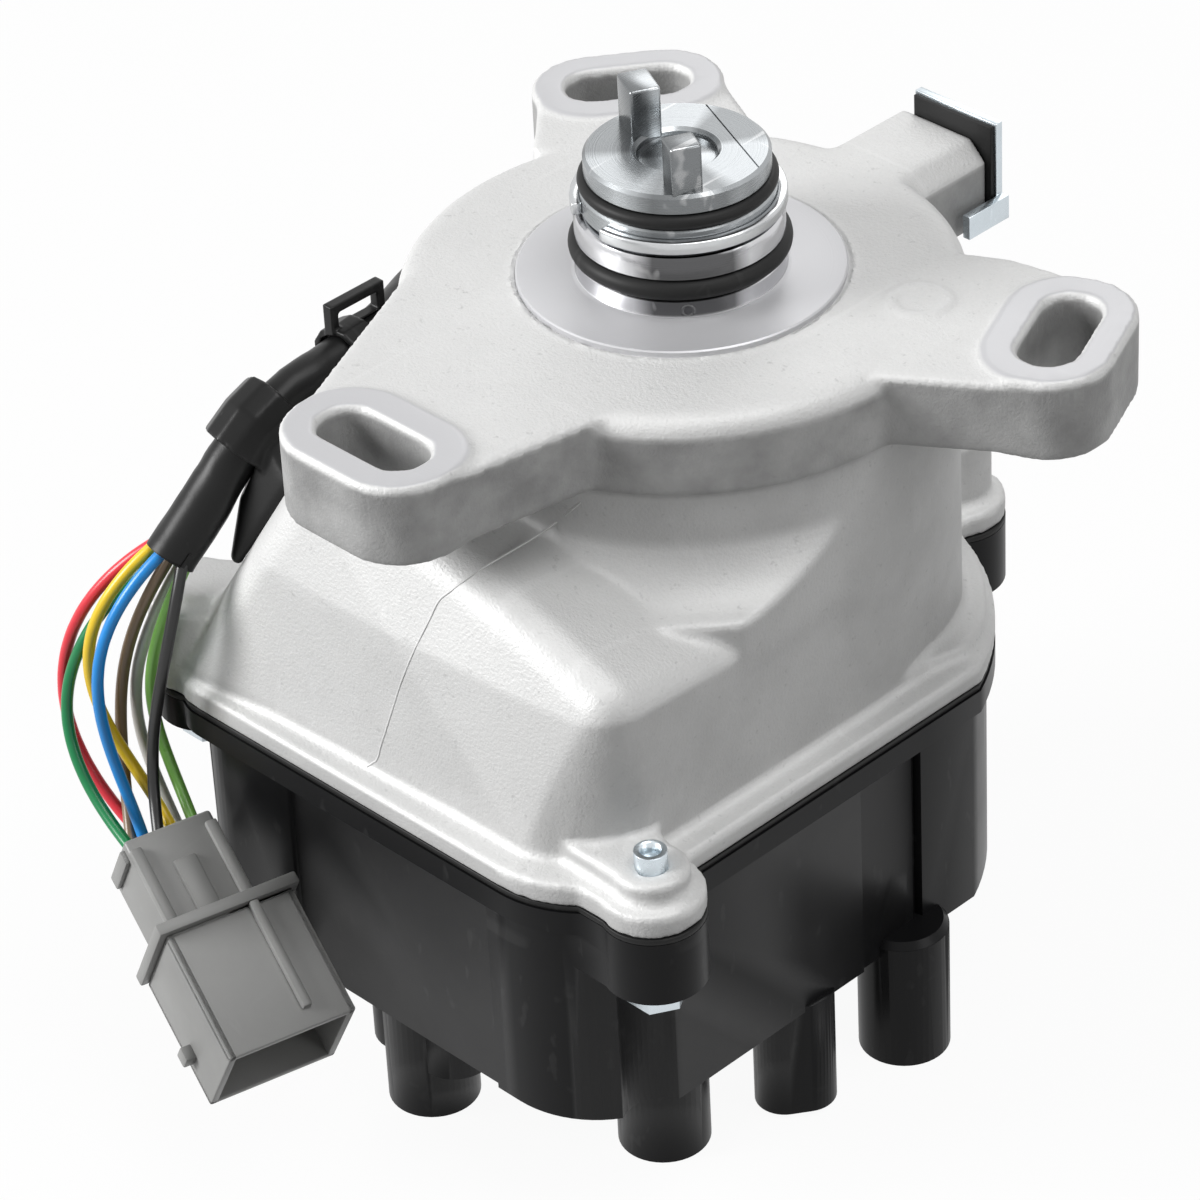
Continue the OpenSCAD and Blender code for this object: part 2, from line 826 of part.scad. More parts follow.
module pickup_carrier() {
    low = wheels_z - 3 * wheel_pitch;
    color("darkslategray")
        difference() {
            union() {
                translate([0, 0, low])
                    cylinder(r = carrier_r + carrier_t, h = carrier_top - low);
                translate([0, 0, carrier_top - 2])
                    cylinder(r = carrier_r + carrier_t + 1, h = 2);
                translate([0, 0, carrier_top - 2])
                    around(carrier_dir, carrier_bolt_r)
                        cylinder(r = 4.5, h = 2);
            }
            translate([0, 0, low - 1])
                cylinder(r = carrier_r, h = carrier_top - low + 2);
            around(carrier_dir, carrier_bolt_r)
                translate([0, 0, carrier_top - 3])
                    cylinder(d = small_screw_d, h = 4);
            for (k = [0:2])
                at_pickup(k)
                    rotate([0, 90, 0]) {
                        cylinder(d = core_d, h = 40);
                        cylinder(d = bobbin_d, h = carrier_r + 1);
                    }
        }
}

module pickup_bobbins() {
    color("orangered")
        for (k = [0:2])
            at_pickup(k)
                rotate([0, 90, 0])
                    translate([0, 0, core_tip(k) + 1])
                        difference() {
                            ring(bobbin_d / 2, core_d / 2, carrier_r + 1 - core_tip(k) - 1);
                            translate([0, 0, 1])
                                ring(bobbin_d, bobbin_d / 2 - 0.8, carrier_r - 3 - core_tip(k));
                        }
}

module pickup_cores() {
    color("silver")
        for (k = [0:2])
            at_pickup(k)
                rotate([0, 90, 0])
                    translate([0, 0, core_tip(k)])
                        cylinder(d = core_d, h = carrier_r + carrier_t + 1 - core_tip(k));
}

module carrier_screws() {
    color("silver")
        around(carrier_dir, carrier_bolt_r)
            translate([0, 0, carrier_top - 2])
                pan_screw(small_screw_d, 11);
}

module igniter_module() {
    color("dimgray")
        difference() {
            translate([igniter_x - igniter_w / 2, igniter_y - igniter_l / 2, igniter_top - igniter_h])
                cube([igniter_w, igniter_l, igniter_h]);
            for (s = [-1, 1])
                translate([igniter_x + s * igniter_screw_x, igniter_y, igniter_top - igniter_h - 1])
                    cylinder(d = small_screw_d, h = igniter_h + 2);
        }
}

module igniter_screws() {
    color("silver")
        for (s = [-1, 1])
            translate([igniter_x + s * igniter_screw_x, igniter_y, igniter_top - igniter_h])
                pan_screw(small_screw_d, igniter_h + 7);
}

module coil_body() {
    color("black")
        difference() {
            union() {
                translate([coil_x - coil_w / 2, coil_y - coil_l / 2, coil_top - coil_h])
                    cube([coil_w, coil_l, coil_h]);
                for (s = [-1, 1])
                    translate([coil_x + s * coil_screw_x, coil_y, coil_top - coil_ear_t])
                        cylinder(r = 4, h = coil_ear_t);
                translate([coil_x - coil_screw_x, coil_y - 4, coil_top - coil_ear_t])
                    cube([2 * coil_screw_x, 8, coil_ear_t]);
            }
            for (s = [-1, 1])
                translate([coil_x + s * coil_screw_x, coil_y, coil_top - coil_ear_t - 1])
                    cylinder(d = small_screw_d, h = coil_ear_t + 2);
            translate([coil_x - 5, coil_y - 5, coil_top - coil_h - 1])
                cube([10, 10, coil_h + 2]);
            translate([coil_tower[0], coil_tower[1], coil_top - coil_h - 1])
                cylinder(d = 3, h = 5);
        }
}

module coil_core() {
    color("gray")
        translate([coil_x - 5, coil_y - 5, coil_top - coil_h])
            cube([10, 10, coil_h]);
}

module coil_screws() {
    color("silver")
        for (s = [-1, 1])
            translate([coil_x + s * coil_screw_x, coil_y, coil_top - coil_ear_t])
                pan_screw(small_screw_d, coil_ear_t + 7);
}

module coil_terminal() {
    color("goldenrod")
        translate([coil_tower[0], coil_tower[1], seam_z - 1])
            cylinder(d = 3, h = coil_top - coil_h + 4 - seam_z + 1);
}

module dust_cover() {
    color("darkslategray")
        translate([0, 0, ledge_z - cover_t])
            difference() {
                linear_extrude(height = cover_t)
                    outline_2d(-4.5 - body_gap);
                translate([0, 0, -1])
                    cylinder(r = shaft_d / 2 + 8, h = cover_t + 2);
                translate([coil_tower[0], coil_tower[1], -1])
                    cylinder(r = 5.5, h = cover_t + 2);
            }
}

module rotor_arm() {
    color("saddlebrown")
        rotate(arm_dir)
            difference() {
                union() {
                    translate([0, 0, arm_z])
                        cylinder(r = shaft_d / 2 + 4, h = 17);
                    translate([-shaft_d / 2 - 4, -5, arm_z])
                        cube([electrode_r - post_d / 2 - arm_gap - 2 + shaft_d / 2 + 4, 10, arm_t]);
                }
                difference() {
                    translate([0, 0, arm_z + 7])
                        cylinder(d = shaft_d, h = 12);
                    translate([shaft_d / 2 - 1.5, -shaft_d, arm_z + 6])
                        cube([shaft_d, 2 * shaft_d, 11]);
                }
                translate([shaft_d / 2 - 3, 0, arm_z + 12])
                    rotate([0, 90, 0])
                        cylinder(d = 3, h = 10);
            }
}

module rotor_screw() {
    color("silver")
        rotate(arm_dir)
            translate([shaft_d / 2 - 1.5, 0, arm_z + 12])
                rotate([0, 90, 0]) {
                    cylinder(d = 3, h = 7);
                    translate([0, 0, 5.5])
                        cylinder(d = 5.5, h = 2);
                }
}

module rotor_electrode() {
    color("goldenrod")
        rotate(arm_dir)
            translate([-4, -3.5, arm_z - electrode_t])
                cube([electrode_r - post_d / 2 - arm_gap + 4, 7, electrode_t]);
}

// Moulded-in conductor from tower i to its electrode post
module plug_conductor(i) {
    post = electrode_r * [cos(electrode_dir[i]), sin(electrode_dir[i])];
    run = post - towers[i];
    translate([post[0], post[1], strip_z])
        cylinder(d = post_d, h = post_top - strip_z);
    translate([towers[i][0], towers[i][1], stand_z + socket_depth])
        cylinder(d = post_d, h = strip_z + strip_t - stand_z - socket_depth);
    translate([towers[i][0], towers[i][1], strip_z])
        rotate(atan2(run[1], run[0]))
            translate([0, -strip_w / 2, 0])
                cube([norm(run), strip_w, strip_t]);
}

module plug_terminals() {
    color("goldenrod")
        for (i = [0:3])
            plug_conductor(i);
}

module centre_conductor() {
    color("goldenrod") {
        translate([coil_tower[0], coil_tower[1], strip_z])
            cylinder(d = 3, h = seam_z - 1 - strip_z);
        translate([coil_tower[0], coil_tower[1], strip_z])
            rotate(atan2(-coil_tower[1], -coil_tower[0]))
                translate([0, -1.5, 0])
                    cube([norm(coil_tower), 3, strip_t]);
        translate([0, 0, strip_z])
            cylinder(d = brush_d + 0.2, h = strip_t);
    }
}

// Room for the tool that turns a cap screw, grown by g
module screw_room(g) {
    for (l = lugs)
        translate([l[0], l[1], cap_z - 1])
            cylinder(r = socket_r + g, h = cap_h + 1 - l[5]);
}

// Outside of the cap above the towers
module cap_outside() {
    translate([0, 0, cap_top_z - 4])
        linear_extrude(height = 4)
            outline_2d(0);
    difference() {
        translate([0, 0, cap_z])
            linear_extrude(height = cap_h)
                outline_2d(-cap_in, cap_corner);
        screw_room(0);
    }
    for (l = lugs)
        translate([0, 0, cap_top_z - l[5]])
            linear_extrude(height = l[5])
                lug_2d(l);
    for (t = towers)
        translate([t[0], t[1], stand_z])
            cylinder(d = lead_tower_d, h = tower_h + 2);
    translate([towers[0][0], towers[0][1] + 0.6, cap_z - 12])
        linear_extrude(height = 14)
            rotate(90)
                slot_2d(22, 12);
    translate([vent[0], vent[1], stand_z + 1])
        linear_extrude(height = tower_h)
            rotate(-35)
                slot_2d(13, 9.6);
}

// Inside of the cap
module cap_inside() {
    difference() {
        translate([0, 0, floor_z])
            linear_extrude(height = cap_top_z - floor_z + 1)
                outline_2d(-cap_in - cap_wall, cap_corner);
        screw_room(cap_wall);
        for (l = lugs)
            translate([l[0], l[1], floor_z - 1])
                cylinder(r = screw_d / 2 + 2.5, h = cap_h + 2);
        translate([0, 0, floor_z - 1])
            cylinder(r = brush_d / 2 + 4, h = 13);
        translate([coil_tower[0], coil_tower[1], floor_z - 1])
            cylinder(r = 4.6, h = seam_z - 3 - floor_z);
    }
}

module cap() {
    color("#2b2b2d")
        difference() {
            cap_outside();
            cap_inside();
            for (t = towers)
                translate([t[0], t[1], stand_z - 1])
                    cylinder(d = socket_d, h = socket_depth + 1);
            for (i = [0:3])
                plug_conductor(i);
            centre_conductor();
            translate([0, 0, spring_z])
                cylinder(d = brush_d + 0.2, h = 30);
            translate([vent[0], vent[1], stand_z - 1])
                cylinder(d = 4, h = tower_h + cap_floor + 3);
            for (l = lugs)
                translate([l[0], l[1], cap_top_z - l[5] - 1])
                    cylinder(d = screw_d, h = l[5] + 2);
        }
}

module cap_gasket() {
    color("black")
        translate([0, 0, cap_top_z])
            linear_extrude(height = gasket_t)
                difference() {
                    union() {
                        outline_2d(-0.3);
                        for (l = lugs)
                            lug_2d(l);
                    }
                    difference() {
                        outline_2d(-cap_in - cap_wall, cap_corner);
                        for (l = lugs)
                            translate([l[0], l[1]])
                                circle(r = screw_d / 2 + 2.5);
                    }
                    for (l = lugs)
                        translate([l[0], l[1]])
                            circle(d = screw_d);
                }
}

module cap_screws() {
    head = 4.6;
    color("silver")
        for (l = lugs)
            translate([l[0], l[1], cap_top_z - l[5]]) {
                cylinder(d = screw_d, h = l[5] + gasket_t + 10.5);
                translate([0, 0, -head])
                    cylinder(r = screw_af / sqrt(3), h = head, $fn = 6);
                translate([0, 0, -1.2])
                    cylinder(d = screw_af * 1.45, h = 1.2);
            }
}

module carbon_brush() {
    color("#202020")
        translate([0, 0, brush_top - brush_l])
            cylinder(d = brush_d, h = brush_l);
}

module brush_spring() {
    turns = 5;
    wire = 0.6;
    steps = 8 * turns;
    route = [for (i = [0:steps])
        [(brush_d - wire - 0.2) / 2 * cos(45 * i), (brush_d - wire - 0.2) / 2 * sin(45 * i),
            spring_z + wire / 2 + (brush_top - brush_l - spring_z - wire) * i / steps]];
    color("silver")
        tube(route, wire, 6);
}

// Plan of the end block's cover, with a chosen margin
module end_cover(m, t) {
    translate([-7.5 - m + 2.4, block_y, -15 - m + 2])
        cube([block_w + 2 * m - 1.6, t, 15 + 2 * m]);
}

module end_plate_gasket() {
    color("black")
        difference() {
            end_cover(0.2, 0.8);
            end_holes();
        }
}

module end_holes() {
    for (x = end_screw_x)
        translate([x, block_y - 1, -7.5])
            rotate([-90, 0, 0])
                cylinder(d = 3, h = 6);
}

module end_plate() {
    color("lightsteelblue")
        difference() {
            union() {
                translate([0, 0.8, 0])
                    end_cover(0.6, end_plate_t);
                translate([block_w - 7.5 + 1.4, block_y - 7, -14])
                    cube([end_plate_t, 7.8 + end_plate_t, 4]);
            }
            end_holes();
        }
}

module end_plate_screws() {
    color("silver")
        for (x = end_screw_x)
            translate([x, block_y + 0.8 + end_plate_t, -7.5])
                rotate([90, 0, 0])
                    pan_screw(3, 8);
}

module harness_grommet() {
    color("black")
        rotate(grommet_dir)
            translate([0, 0, grommet_z])
                rotate([0, 90, 0])
                    difference() {
                        union() {
                            translate([0, 0, cavity_r - 1])
                                cylinder(d = grommet_d, h = grommet_r - cavity_r + 1);
                            translate([0, 0, grommet_r])
                                cylinder(r = 7, h = 1.8);
                            translate([0, 0, grommet_r])
                                cylinder(r = 5.6, h = 4);
                        }
                        translate([0, 0, grommet_r + 1.4])
                            cylinder(d = sleeve_d + 0.1, h = 8);
                    }
}

module sleeve_solid() {
    tube(sleeve_route, sleeve_d, 12);
}

module harness_sleeve() {
    last = len(sleeve_route) - 1;
    color("black")
        difference() {
            sleeve_solid();
            tube([for (t = [-wire_start, 2]) sleeve_route[last] + t * heading(sleeve_route, last)],
                sleeve_bore, 12);
        }
}

module harness_clip() {
    band = [on_sleeve(10, 0.3), sleeve_route[11], on_sleeve(11, 0.9)];
    color("black")
        difference() {
            union() {
                tube(band, sleeve_d + 3.6, 12);
                hull() {
                    translate(band[1] + [3, 1, -2.5])
                        sphere(r = 4, $fn = 16);
                    translate([-33.5, -51, -28])
                        sphere(r = 2.5, $fn = 16);
                    translate([-39.5, -58, -41])
                        sphere(r = 1.2, $fn = 16);
                }
            }
            sleeve_solid();
            body_form(0);
        }
}

module harness_loop() {
    bar = 1.5;
    base = on_sleeve(8, 0.25);
    top = on_sleeve(8, 0.75);
    color("black")
        difference() {
            union() {
                tube([base, top], sleeve_d + 2, 12);
                translate(base + [-0.75, -5.5, 4.2])
                    difference() {
                        translate([-1, 0, -1.2])
                            cube([2, 11, 6]);
                        translate([-2, bar, bar - 1.2])
                            cube([4, 11 - 2 * bar, 6 - 2 * bar]);
                    }
            }
            sleeve_solid();
        }
}

module wire_red() {
    color("crimson")
        tube(wire_route(red), wire_d, 8);
}

module wire_green() {
    color("darkgreen")
        tube(wire_route(green), wire_d, 8);
}

module wire_yellow() {
    color("gold")
        tube(wire_route(yellow), wire_d, 8);
}

module wire_blue() {
    color("dodgerblue")
        tube(wire_route(blue), wire_d, 8);
}

module wire_brown() {
    color("tan")
        tube(wire_route(brown), wire_d, 8);
}

module wire_white() {
    color("lightgray")
        tube(wire_route(white), wire_d, 8);
}

module wire_lime() {
    color("lightgreen")
        tube(wire_route(lime), wire_d, 8);
}

module wire_black() {
    color("black")
        tube(wire_route(black), wire_d, 8);
}

// Places children in the connector's own frame, with +X out of its mouth
module at_connector() {
    translate(conn_at)
        rotate([0, 0, conn_yaw])
            rotate([0, conn_tilt, 0])
                children();
}

module connector_housing() {
    color("gray")
        at_connector()
            difference() {
                union() {
                    translate([-shroud_l, 0, 0])
                        cube([shroud_l, conn_w, conn_t]);
                    translate([-shroud_l - conn_flange_t, -conn_flange_out, 0])
                        cube([conn_flange_t, conn_w + 2 * conn_flange_out, conn_t + conn_flange_out]);
                    translate([conn_back, conn_rear_y[0], conn_rear_z[0]])
                        cube([conn_rear_l + 1, conn_rear_y[1] - conn_rear_y[0], conn_rear_z[1] - conn_rear_z[0]]);
                    translate([-shroud_l, 14, conn_t - 1])
                        cube([shroud_l - 3, 1.6, 2.2]);
                    translate([-9, -1.8, 2])
                        cube([2.5, 2, 3]);
                }
                difference() {
                    translate([-shroud_l + 1, shroud_t, shroud_t])
                        cube([shroud_l, conn_w - 2 * shroud_t, conn_t - 2 * shroud_t]);
                    for (k = [1, 2])
                        translate([-shroud_l, 0, conn_t - shroud_t - 1.6 * k])
                            cube([shroud_l - 1.5 * k, 16, 0.8]);
                }
                for (y = wire_y, z = wire_z) {
                    translate([conn_back - 1, y, z])
                        rotate([0, 90, 0])
                            cylinder(d = wire_d, h = wire_in + 1);
                    translate([-shroud_l - 4, y - 0.5, z - 0.5])
                        cube([6, 1, 1]);
                }
            }
}

module connector_pins() {
    color("silver")
        at_connector()
            for (y = wire_y, z = wire_z)
                translate([-shroud_l - 4, y - 0.5, z - 0.5])
                    cube([14, 1, 1]);
}

housing();
neck_o_ring();
drive_coupling();
coupling_pin();
coupling_clip();
coupling_ring();
rotor_shaft();
oil_seal();
neck_bush();
bearing_outer_ring();
bearing_inner_ring();
bearing_cage();
bearing_balls();
bearing_retainer();
retainer_screws();
shaft_spacer();
crank_reluctor();
tdc_reluctor();
cylinder_reluctor();
pickup_carrier();
pickup_bobbins();
pickup_cores();
carrier_screws();
igniter_module();
igniter_screws();
coil_body();
coil_core();
coil_screws();
coil_terminal();
dust_cover();
rotor_arm();
rotor_electrode();
rotor_screw();
cap();
cap_gasket();
cap_screws();
plug_terminals();
centre_conductor();
carbon_brush();
brush_spring();
end_plate();
end_plate_gasket();
end_plate_screws();
harness_grommet();
harness_sleeve();
harness_clip();
harness_loop();
wire_red();
wire_green();
wire_yellow();
wire_blue();
wire_brown();
wire_white();
wire_lime();
wire_black();
connector_housing();
connector_pins();
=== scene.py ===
"""Ignition distributor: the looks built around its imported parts, laid out as a Blender add-on."""

import json
import math

import bmesh
import bpy
from bpy.props import FloatProperty, FloatVectorProperty, PointerProperty
from mathutils import Matrix, Vector, noise
from mathutils.bvhtree import BVHTree


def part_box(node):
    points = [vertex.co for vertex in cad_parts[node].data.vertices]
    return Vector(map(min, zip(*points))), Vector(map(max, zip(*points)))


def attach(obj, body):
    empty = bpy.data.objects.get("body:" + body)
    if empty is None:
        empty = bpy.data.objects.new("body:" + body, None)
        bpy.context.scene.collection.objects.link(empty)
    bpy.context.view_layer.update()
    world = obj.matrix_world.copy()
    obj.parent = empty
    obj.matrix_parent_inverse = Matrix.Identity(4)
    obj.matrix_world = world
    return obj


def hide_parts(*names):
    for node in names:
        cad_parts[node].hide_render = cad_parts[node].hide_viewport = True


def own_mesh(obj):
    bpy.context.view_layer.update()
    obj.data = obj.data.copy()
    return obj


bl_info = {
    "name": "Ignition Distributor",
    "version": (1, 0, 0),
    "blender": (4, 5, 0),
    "location": "View3D > Sidebar > Distributor",
    "description": "Builds the castings, cap, coupling, lead and studio of an ignition distributor",
    "category": "Object",
}

MM = 0.001
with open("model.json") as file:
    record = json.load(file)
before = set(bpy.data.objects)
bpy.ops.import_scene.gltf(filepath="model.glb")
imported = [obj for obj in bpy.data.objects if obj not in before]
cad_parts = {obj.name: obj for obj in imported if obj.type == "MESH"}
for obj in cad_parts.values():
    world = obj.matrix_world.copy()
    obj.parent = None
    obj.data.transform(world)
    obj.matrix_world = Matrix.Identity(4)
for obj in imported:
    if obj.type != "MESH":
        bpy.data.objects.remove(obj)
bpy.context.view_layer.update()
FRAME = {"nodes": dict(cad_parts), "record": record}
NODES = FRAME["nodes"]

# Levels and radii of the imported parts, in millimetres
CAP_Z = -109.0
STAND_Z = -130.0
NECK_R = 15.8
NECK_H = 10.4
LAND_R = 24.9
COUPLING_Z = 10.8
COUPLING_TOP = 19.7
SEAM_TOP = -63.5

# Third lead tower, whose top is closed over its terminal
TOWER_AT = (39, 4.2)
TOWER_R = 7.3

# Wall of the casting above the foot that is drawn in, and by how much at its foot
FOOT_TOP = -37.0
FOOT_DEPTH = 2.9

# Turn of the painted reflection on turned metal, dark bands round the axis: one of the three faces the
# camera
PAINTED_REFLECTION_TURN = -1.15

# Parting line of the mould down the front wall, as X and Z
PARTING = [(15.9, -16.7), (6.1, -28.2), (-0.8, -45.4), (-6.1, -60.8), (-8.5, -63.2)]

# Recessed panel of the cap's front wall, and recessed strip with its slot on the right wall
CAP_X = 41.1
CAP_Y = -64.6
PANEL_X = (-25.2, 18.8)
PANEL_TOP = -73.4
STRIP_Y = (-7.0, 5.0)

# Route of the sleeve, as in the part's source
SLEEVE = [(-43.5, 13.3, -21), (-47.5, 14.5, -21), (-50.5, 13, -20.8), (-52, 9, -20.4), (-52, 3, -20),
          (-50, -4, -19.4), (-47.5, -11, -18.8), (-45, -17.5, -18.6), (-43, -25, -18.7), (-42, -35, -19),
          (-42, -44, -19.8), (-42.2, -50, -22.2), (-43, -54, -26), (-44, -58, -31), (-45, -62, -35.5),
          (-46, -66, -40)]
WIRE_START = 2.5

# Connector: front corner of its mouth, downward tilt and heading
CONN_AT = Vector((-16.9, -92.25, -115.5))
CONN_TILT = math.radians(31)
CONN_YAW = math.radians(-13.9)
CONN_W = 21.8
CONN_T = 18.2
SHROUD_L = 22.0
CONN_BACK = -40.0
WIRE_Y = [4.2, 7.6, 11.0, 14.4]
WIRE_Z = [5.0, 12.0]

# The eight wires: colour name, place in the sleeve, hole in the connector and two bending points
WIRES = {
    "red": (3, (2, 0), (-61, -83, -48), (-74, -76, -82)),
    "green": (4, (0, 1), (-59, -82, -53), (-69, -79, -77)),
    "yellow": (2, (2, 1), (-58, -90, -53), (-60, -66, -81)),
    "blue": (1, (1, 0), (-53, -89, -53), (-55, -72, -78)),
    "brown": (7, (0, 0), (-51, -78, -56), (-64, -65, -77)),
    "white": (5, (3, 0), (-51, -77, -61), (-66, -62, -82)),
    "lime": (6, (3, 1), (-46, -77, -59), (-61, -62, -76)),
    "black": (0, (1, 1), (-37, -79, -60), (-56, -67, -75)),
}
WIRE_POINTS = 17

# Lamps: name, place and size in metres, power in watts
LAMPS = [("Key", (-0.95, -1.35, 0.62), 0.9, 38.0), ("Top", (0.45, 0.15, 1.3), 0.9, 9.0),
         ("Fill", (1.1, 0.2, 0.4), 0.6, 2.4), ("Back", (-0.6, 0.9, 0.6), 0.6, 1.5)]


def colour(name, text, value):
    return FloatVectorProperty(name=name, description=text, default=value, size=3, min=0, max=1,
                               subtype="COLOR")


class DistributorColours(bpy.types.PropertyGroup):
    """Colours of the finishes."""

    casting: colour("Casting", "Shot-blasted aluminium of the body", (0.72, 0.72, 0.715))
    machined: colour("Machined", "Milled faces of the ears and the neck ring", (0.55, 0.55, 0.565))
    steel: colour("Steel", "Turned steel of the coupling and shaft", (0.33, 0.345, 0.355))
    zinc: colour("Zinc", "Zinc plating of screws and cover", (0.62, 0.68, 0.72))
    bronze: colour("Bronze", "Bushes and terminals", (0.62, 0.42, 0.18))
    cap: colour("Cap", "Moulded plastic of the cap", (0.007, 0.007, 0.0075))
    connector: colour("Connector", "Moulded plastic of the plug", (0.25, 0.25, 0.244))
    rubber: colour("Rubber", "Seals and grommet", (0.012, 0.012, 0.012))
    vinyl: colour("Vinyl", "Sleeve and clip of the lead", (0.010, 0.010, 0.010))
    resin: colour("Resin", "Rotor arm and bobbins", (0.30, 0.09, 0.03))


class DistributorSizes(bpy.types.PropertyGroup):
    """Sizes of the details that the visual pieces add."""

    grain: FloatProperty(name="Grain", description="Size of the casting's grain", default=0.0005,
                         min=0.0001, max=0.003, unit="LENGTH")
    voxel: FloatProperty(name="Voxel", description="Finest detail of the rounded castings", default=0.0006,
                         min=0.0004, max=0.003, unit="LENGTH")
    edge: FloatProperty(name="Edge", description="Broken edge of machined pieces", default=0.0003,
                        min=0.00005, max=0.001, unit="LENGTH")
    wire: FloatProperty(name="Wire", description="Diameter of one wire", default=0.0019,
                        min=0.001, max=0.003, unit="LENGTH")


# Node groups and materials

def feed(tree, node, links):
    """Gives each named input a value or another node's output."""
    for key, value in links.items():
        if isinstance(value, bpy.types.NodeSocket):
            tree.links.new(value, node.inputs[key])
        else:
            node.inputs[key].default_value = value
    return node


def add(tree, kind, links=None, **settings):
    """A new node with its settings and inputs."""
    node = tree.nodes.new(kind)
    for key, value in settings.items():
        setattr(node, key, value)
    return feed(tree, node, links or {})


def math_node(tree, operation, *values, clamp=False):
    """Result of a sum on values or sockets."""
    links = dict(enumerate(values))
    return add(tree, "ShaderNodeMath", links, operation=operation, use_clamp=clamp).outputs[0]


def ramp(tree, value, low, high, to_low=0.0, to_high=1.0):
    """A value of low..high stretched to another range, and held at its ends."""
    return add(tree, "ShaderNodeMapRange", {"Value": value, "From Min": low, "From Max": high,
                                            "To Min": to_low, "To Max": to_high}).outputs["Result"]


def span(tree, value, low, high):
    """A mask or number stretched from 0..1 to low..high."""
    return ramp(tree, value, 0.0, 1.0, low, high)


def noise_node(tree, vector, scale, detail, **links):
    """Factor of a noise texture."""
    links = {"Vector": vector, "Scale": scale, "Detail": detail, **links}
    return add(tree, "ShaderNodeTexNoise", links).outputs["Fac"]


def group(name, inputs, outputs):
    """A new shader node group; gives its tree, its input node and its output node."""
    tree = bpy.data.node_groups.new(name, "ShaderNodeTree")
    for label, kind, value in inputs:
        socket = tree.interface.new_socket(name=label, in_out="INPUT", socket_type=kind)
        if value is not None:
            socket.default_value = value
    for label, kind in outputs:
        tree.interface.new_socket(name=label, in_out="OUTPUT", socket_type=kind)
    return tree, tree.nodes.new("NodeGroupInput"), tree.nodes.new("NodeGroupOutput")


def grain_group():
    """Fine grain: a height, and a mask of slow patches with small dark specks."""
    tree, head, tail = group("Grain",
                             [("Vector", "NodeSocketVector", None), ("Size", "NodeSocketFloat", 0.0005),
                              ("Patch", "NodeSocketFloat", 0.02)],
                             [("Height", "NodeSocketFloat"), ("Patches", "NodeSocketFloat"),
                              ("Specks", "NodeSocketFloat")])
    vector = head.outputs["Vector"]
    fine = math_node(tree, "DIVIDE", 1.0, head.outputs["Size"])
    slow = math_node(tree, "DIVIDE", 1.0, head.outputs["Patch"])
    dots = noise_node(tree, vector, math_node(tree, "MULTIPLY", fine, 0.35), 2.0, Roughness=0.7)
    feed(tree, tail, {"Height": noise_node(tree, vector, fine, 3.0, Roughness=0.6),
                      "Patches": noise_node(tree, vector, slow, 4.0, Roughness=0.55),
                      "Specks": ramp(tree, dots, 0.64, 0.78)})


def marks_group():
    """Handling marks: thin scratches that run along X and along Y."""
    tree, head, tail = group("Handling marks", [("Vector", "NodeSocketVector", None),
                                                ("Scale", "NodeSocketFloat", 300.0)],
                             [("Marks", "NodeSocketFloat")])
    masks = []
    for stretch in ((1.0, 0.06, 0.4), (0.05, 1.0, 0.4)):
        turn = add(tree, "ShaderNodeMapping", {"Vector": head.outputs["Vector"], "Scale": stretch,
                                               "Rotation": (0.3, 0.2, 0.7)})
        lines = noise_node(tree, turn.outputs["Vector"], head.outputs["Scale"], 2.0)
        masks.append(ramp(tree, lines, 0.66, 0.72))
    feed(tree, tail, {"Marks": math_node(tree, "MAXIMUM", *masks)})


def turned_group():
    """Tool lines of a lathe round the Z axis, and a painted reflection: slow bands that follow the angle
    round it.
    """
    tree, head, tail = group("Turned lines", [("Vector", "NodeSocketVector", None),
                                              ("Pitch", "NodeSocketFloat", 0.00015)],
                             [("Height", "NodeSocketFloat"), ("Streaks", "NodeSocketFloat")])
    parts = add(tree, "ShaderNodeSeparateXYZ", {0: head.outputs["Vector"]}).outputs
    flat = add(tree, "ShaderNodeVectorMath", {0: head.outputs["Vector"], 1: (1.0, 1.0, 0.0)},
               operation="MULTIPLY")
    radius = add(tree, "ShaderNodeVectorMath", {0: flat.outputs[0]}, operation="LENGTH")
    along = math_node(tree, "ADD", radius.outputs["Value"], parts["Z"])
    rate = math_node(tree, "DIVIDE", 1.0, head.outputs["Pitch"])
    line = add(tree, "ShaderNodeTexNoise", {"W": along, "Scale": rate, "Detail": 2.0}, noise_dimensions="1D")
    # Painted reflection: a cosine of three times the angle round the axis, turned so that one dark band
    # faces the camera.
    angle = math_node(tree, "ARCTAN2", parts["Y"], parts["X"])
    wave = math_node(tree, "COSINE", math_node(tree, "MULTIPLY_ADD", angle, 3.0, PAINTED_REFLECTION_TURN))
    feed(tree, tail, {"Height": line.outputs["Fac"], "Streaks": ramp(tree, wave, -1.0, 1.0)})


def shade(name):
    """A new material with its tree, its Principled BSDF and the object's own coordinates."""
    made = bpy.data.materials.new(name)
    made.use_nodes = True
    tree = made.node_tree
    place = add(tree, "ShaderNodeTexCoord")
    return made, tree, tree.nodes["Principled BSDF"], place.outputs["Object"]


def use(tree, name, links):
    """Outputs of a node group placed in a material with its own values."""
    node = tree.nodes.new("ShaderNodeGroup")
    node.node_tree = bpy.data.node_groups[name]
    return feed(tree, node, links).outputs


def mix(tree, factor, first, second):
    """Mix of two colours by a factor; gives the colour socket."""
    first, second = (c if isinstance(c, bpy.types.NodeSocket) else (*c[:3], 1.0) for c in (first, second))
    return add(tree, "ShaderNodeMix", {0: factor, 6: first, 7: second}, data_type="RGBA").outputs[2]


def tint(value, factor):
    """A colour made darker or lighter."""
    return tuple(min(1.0, c * factor) for c in value[:3])


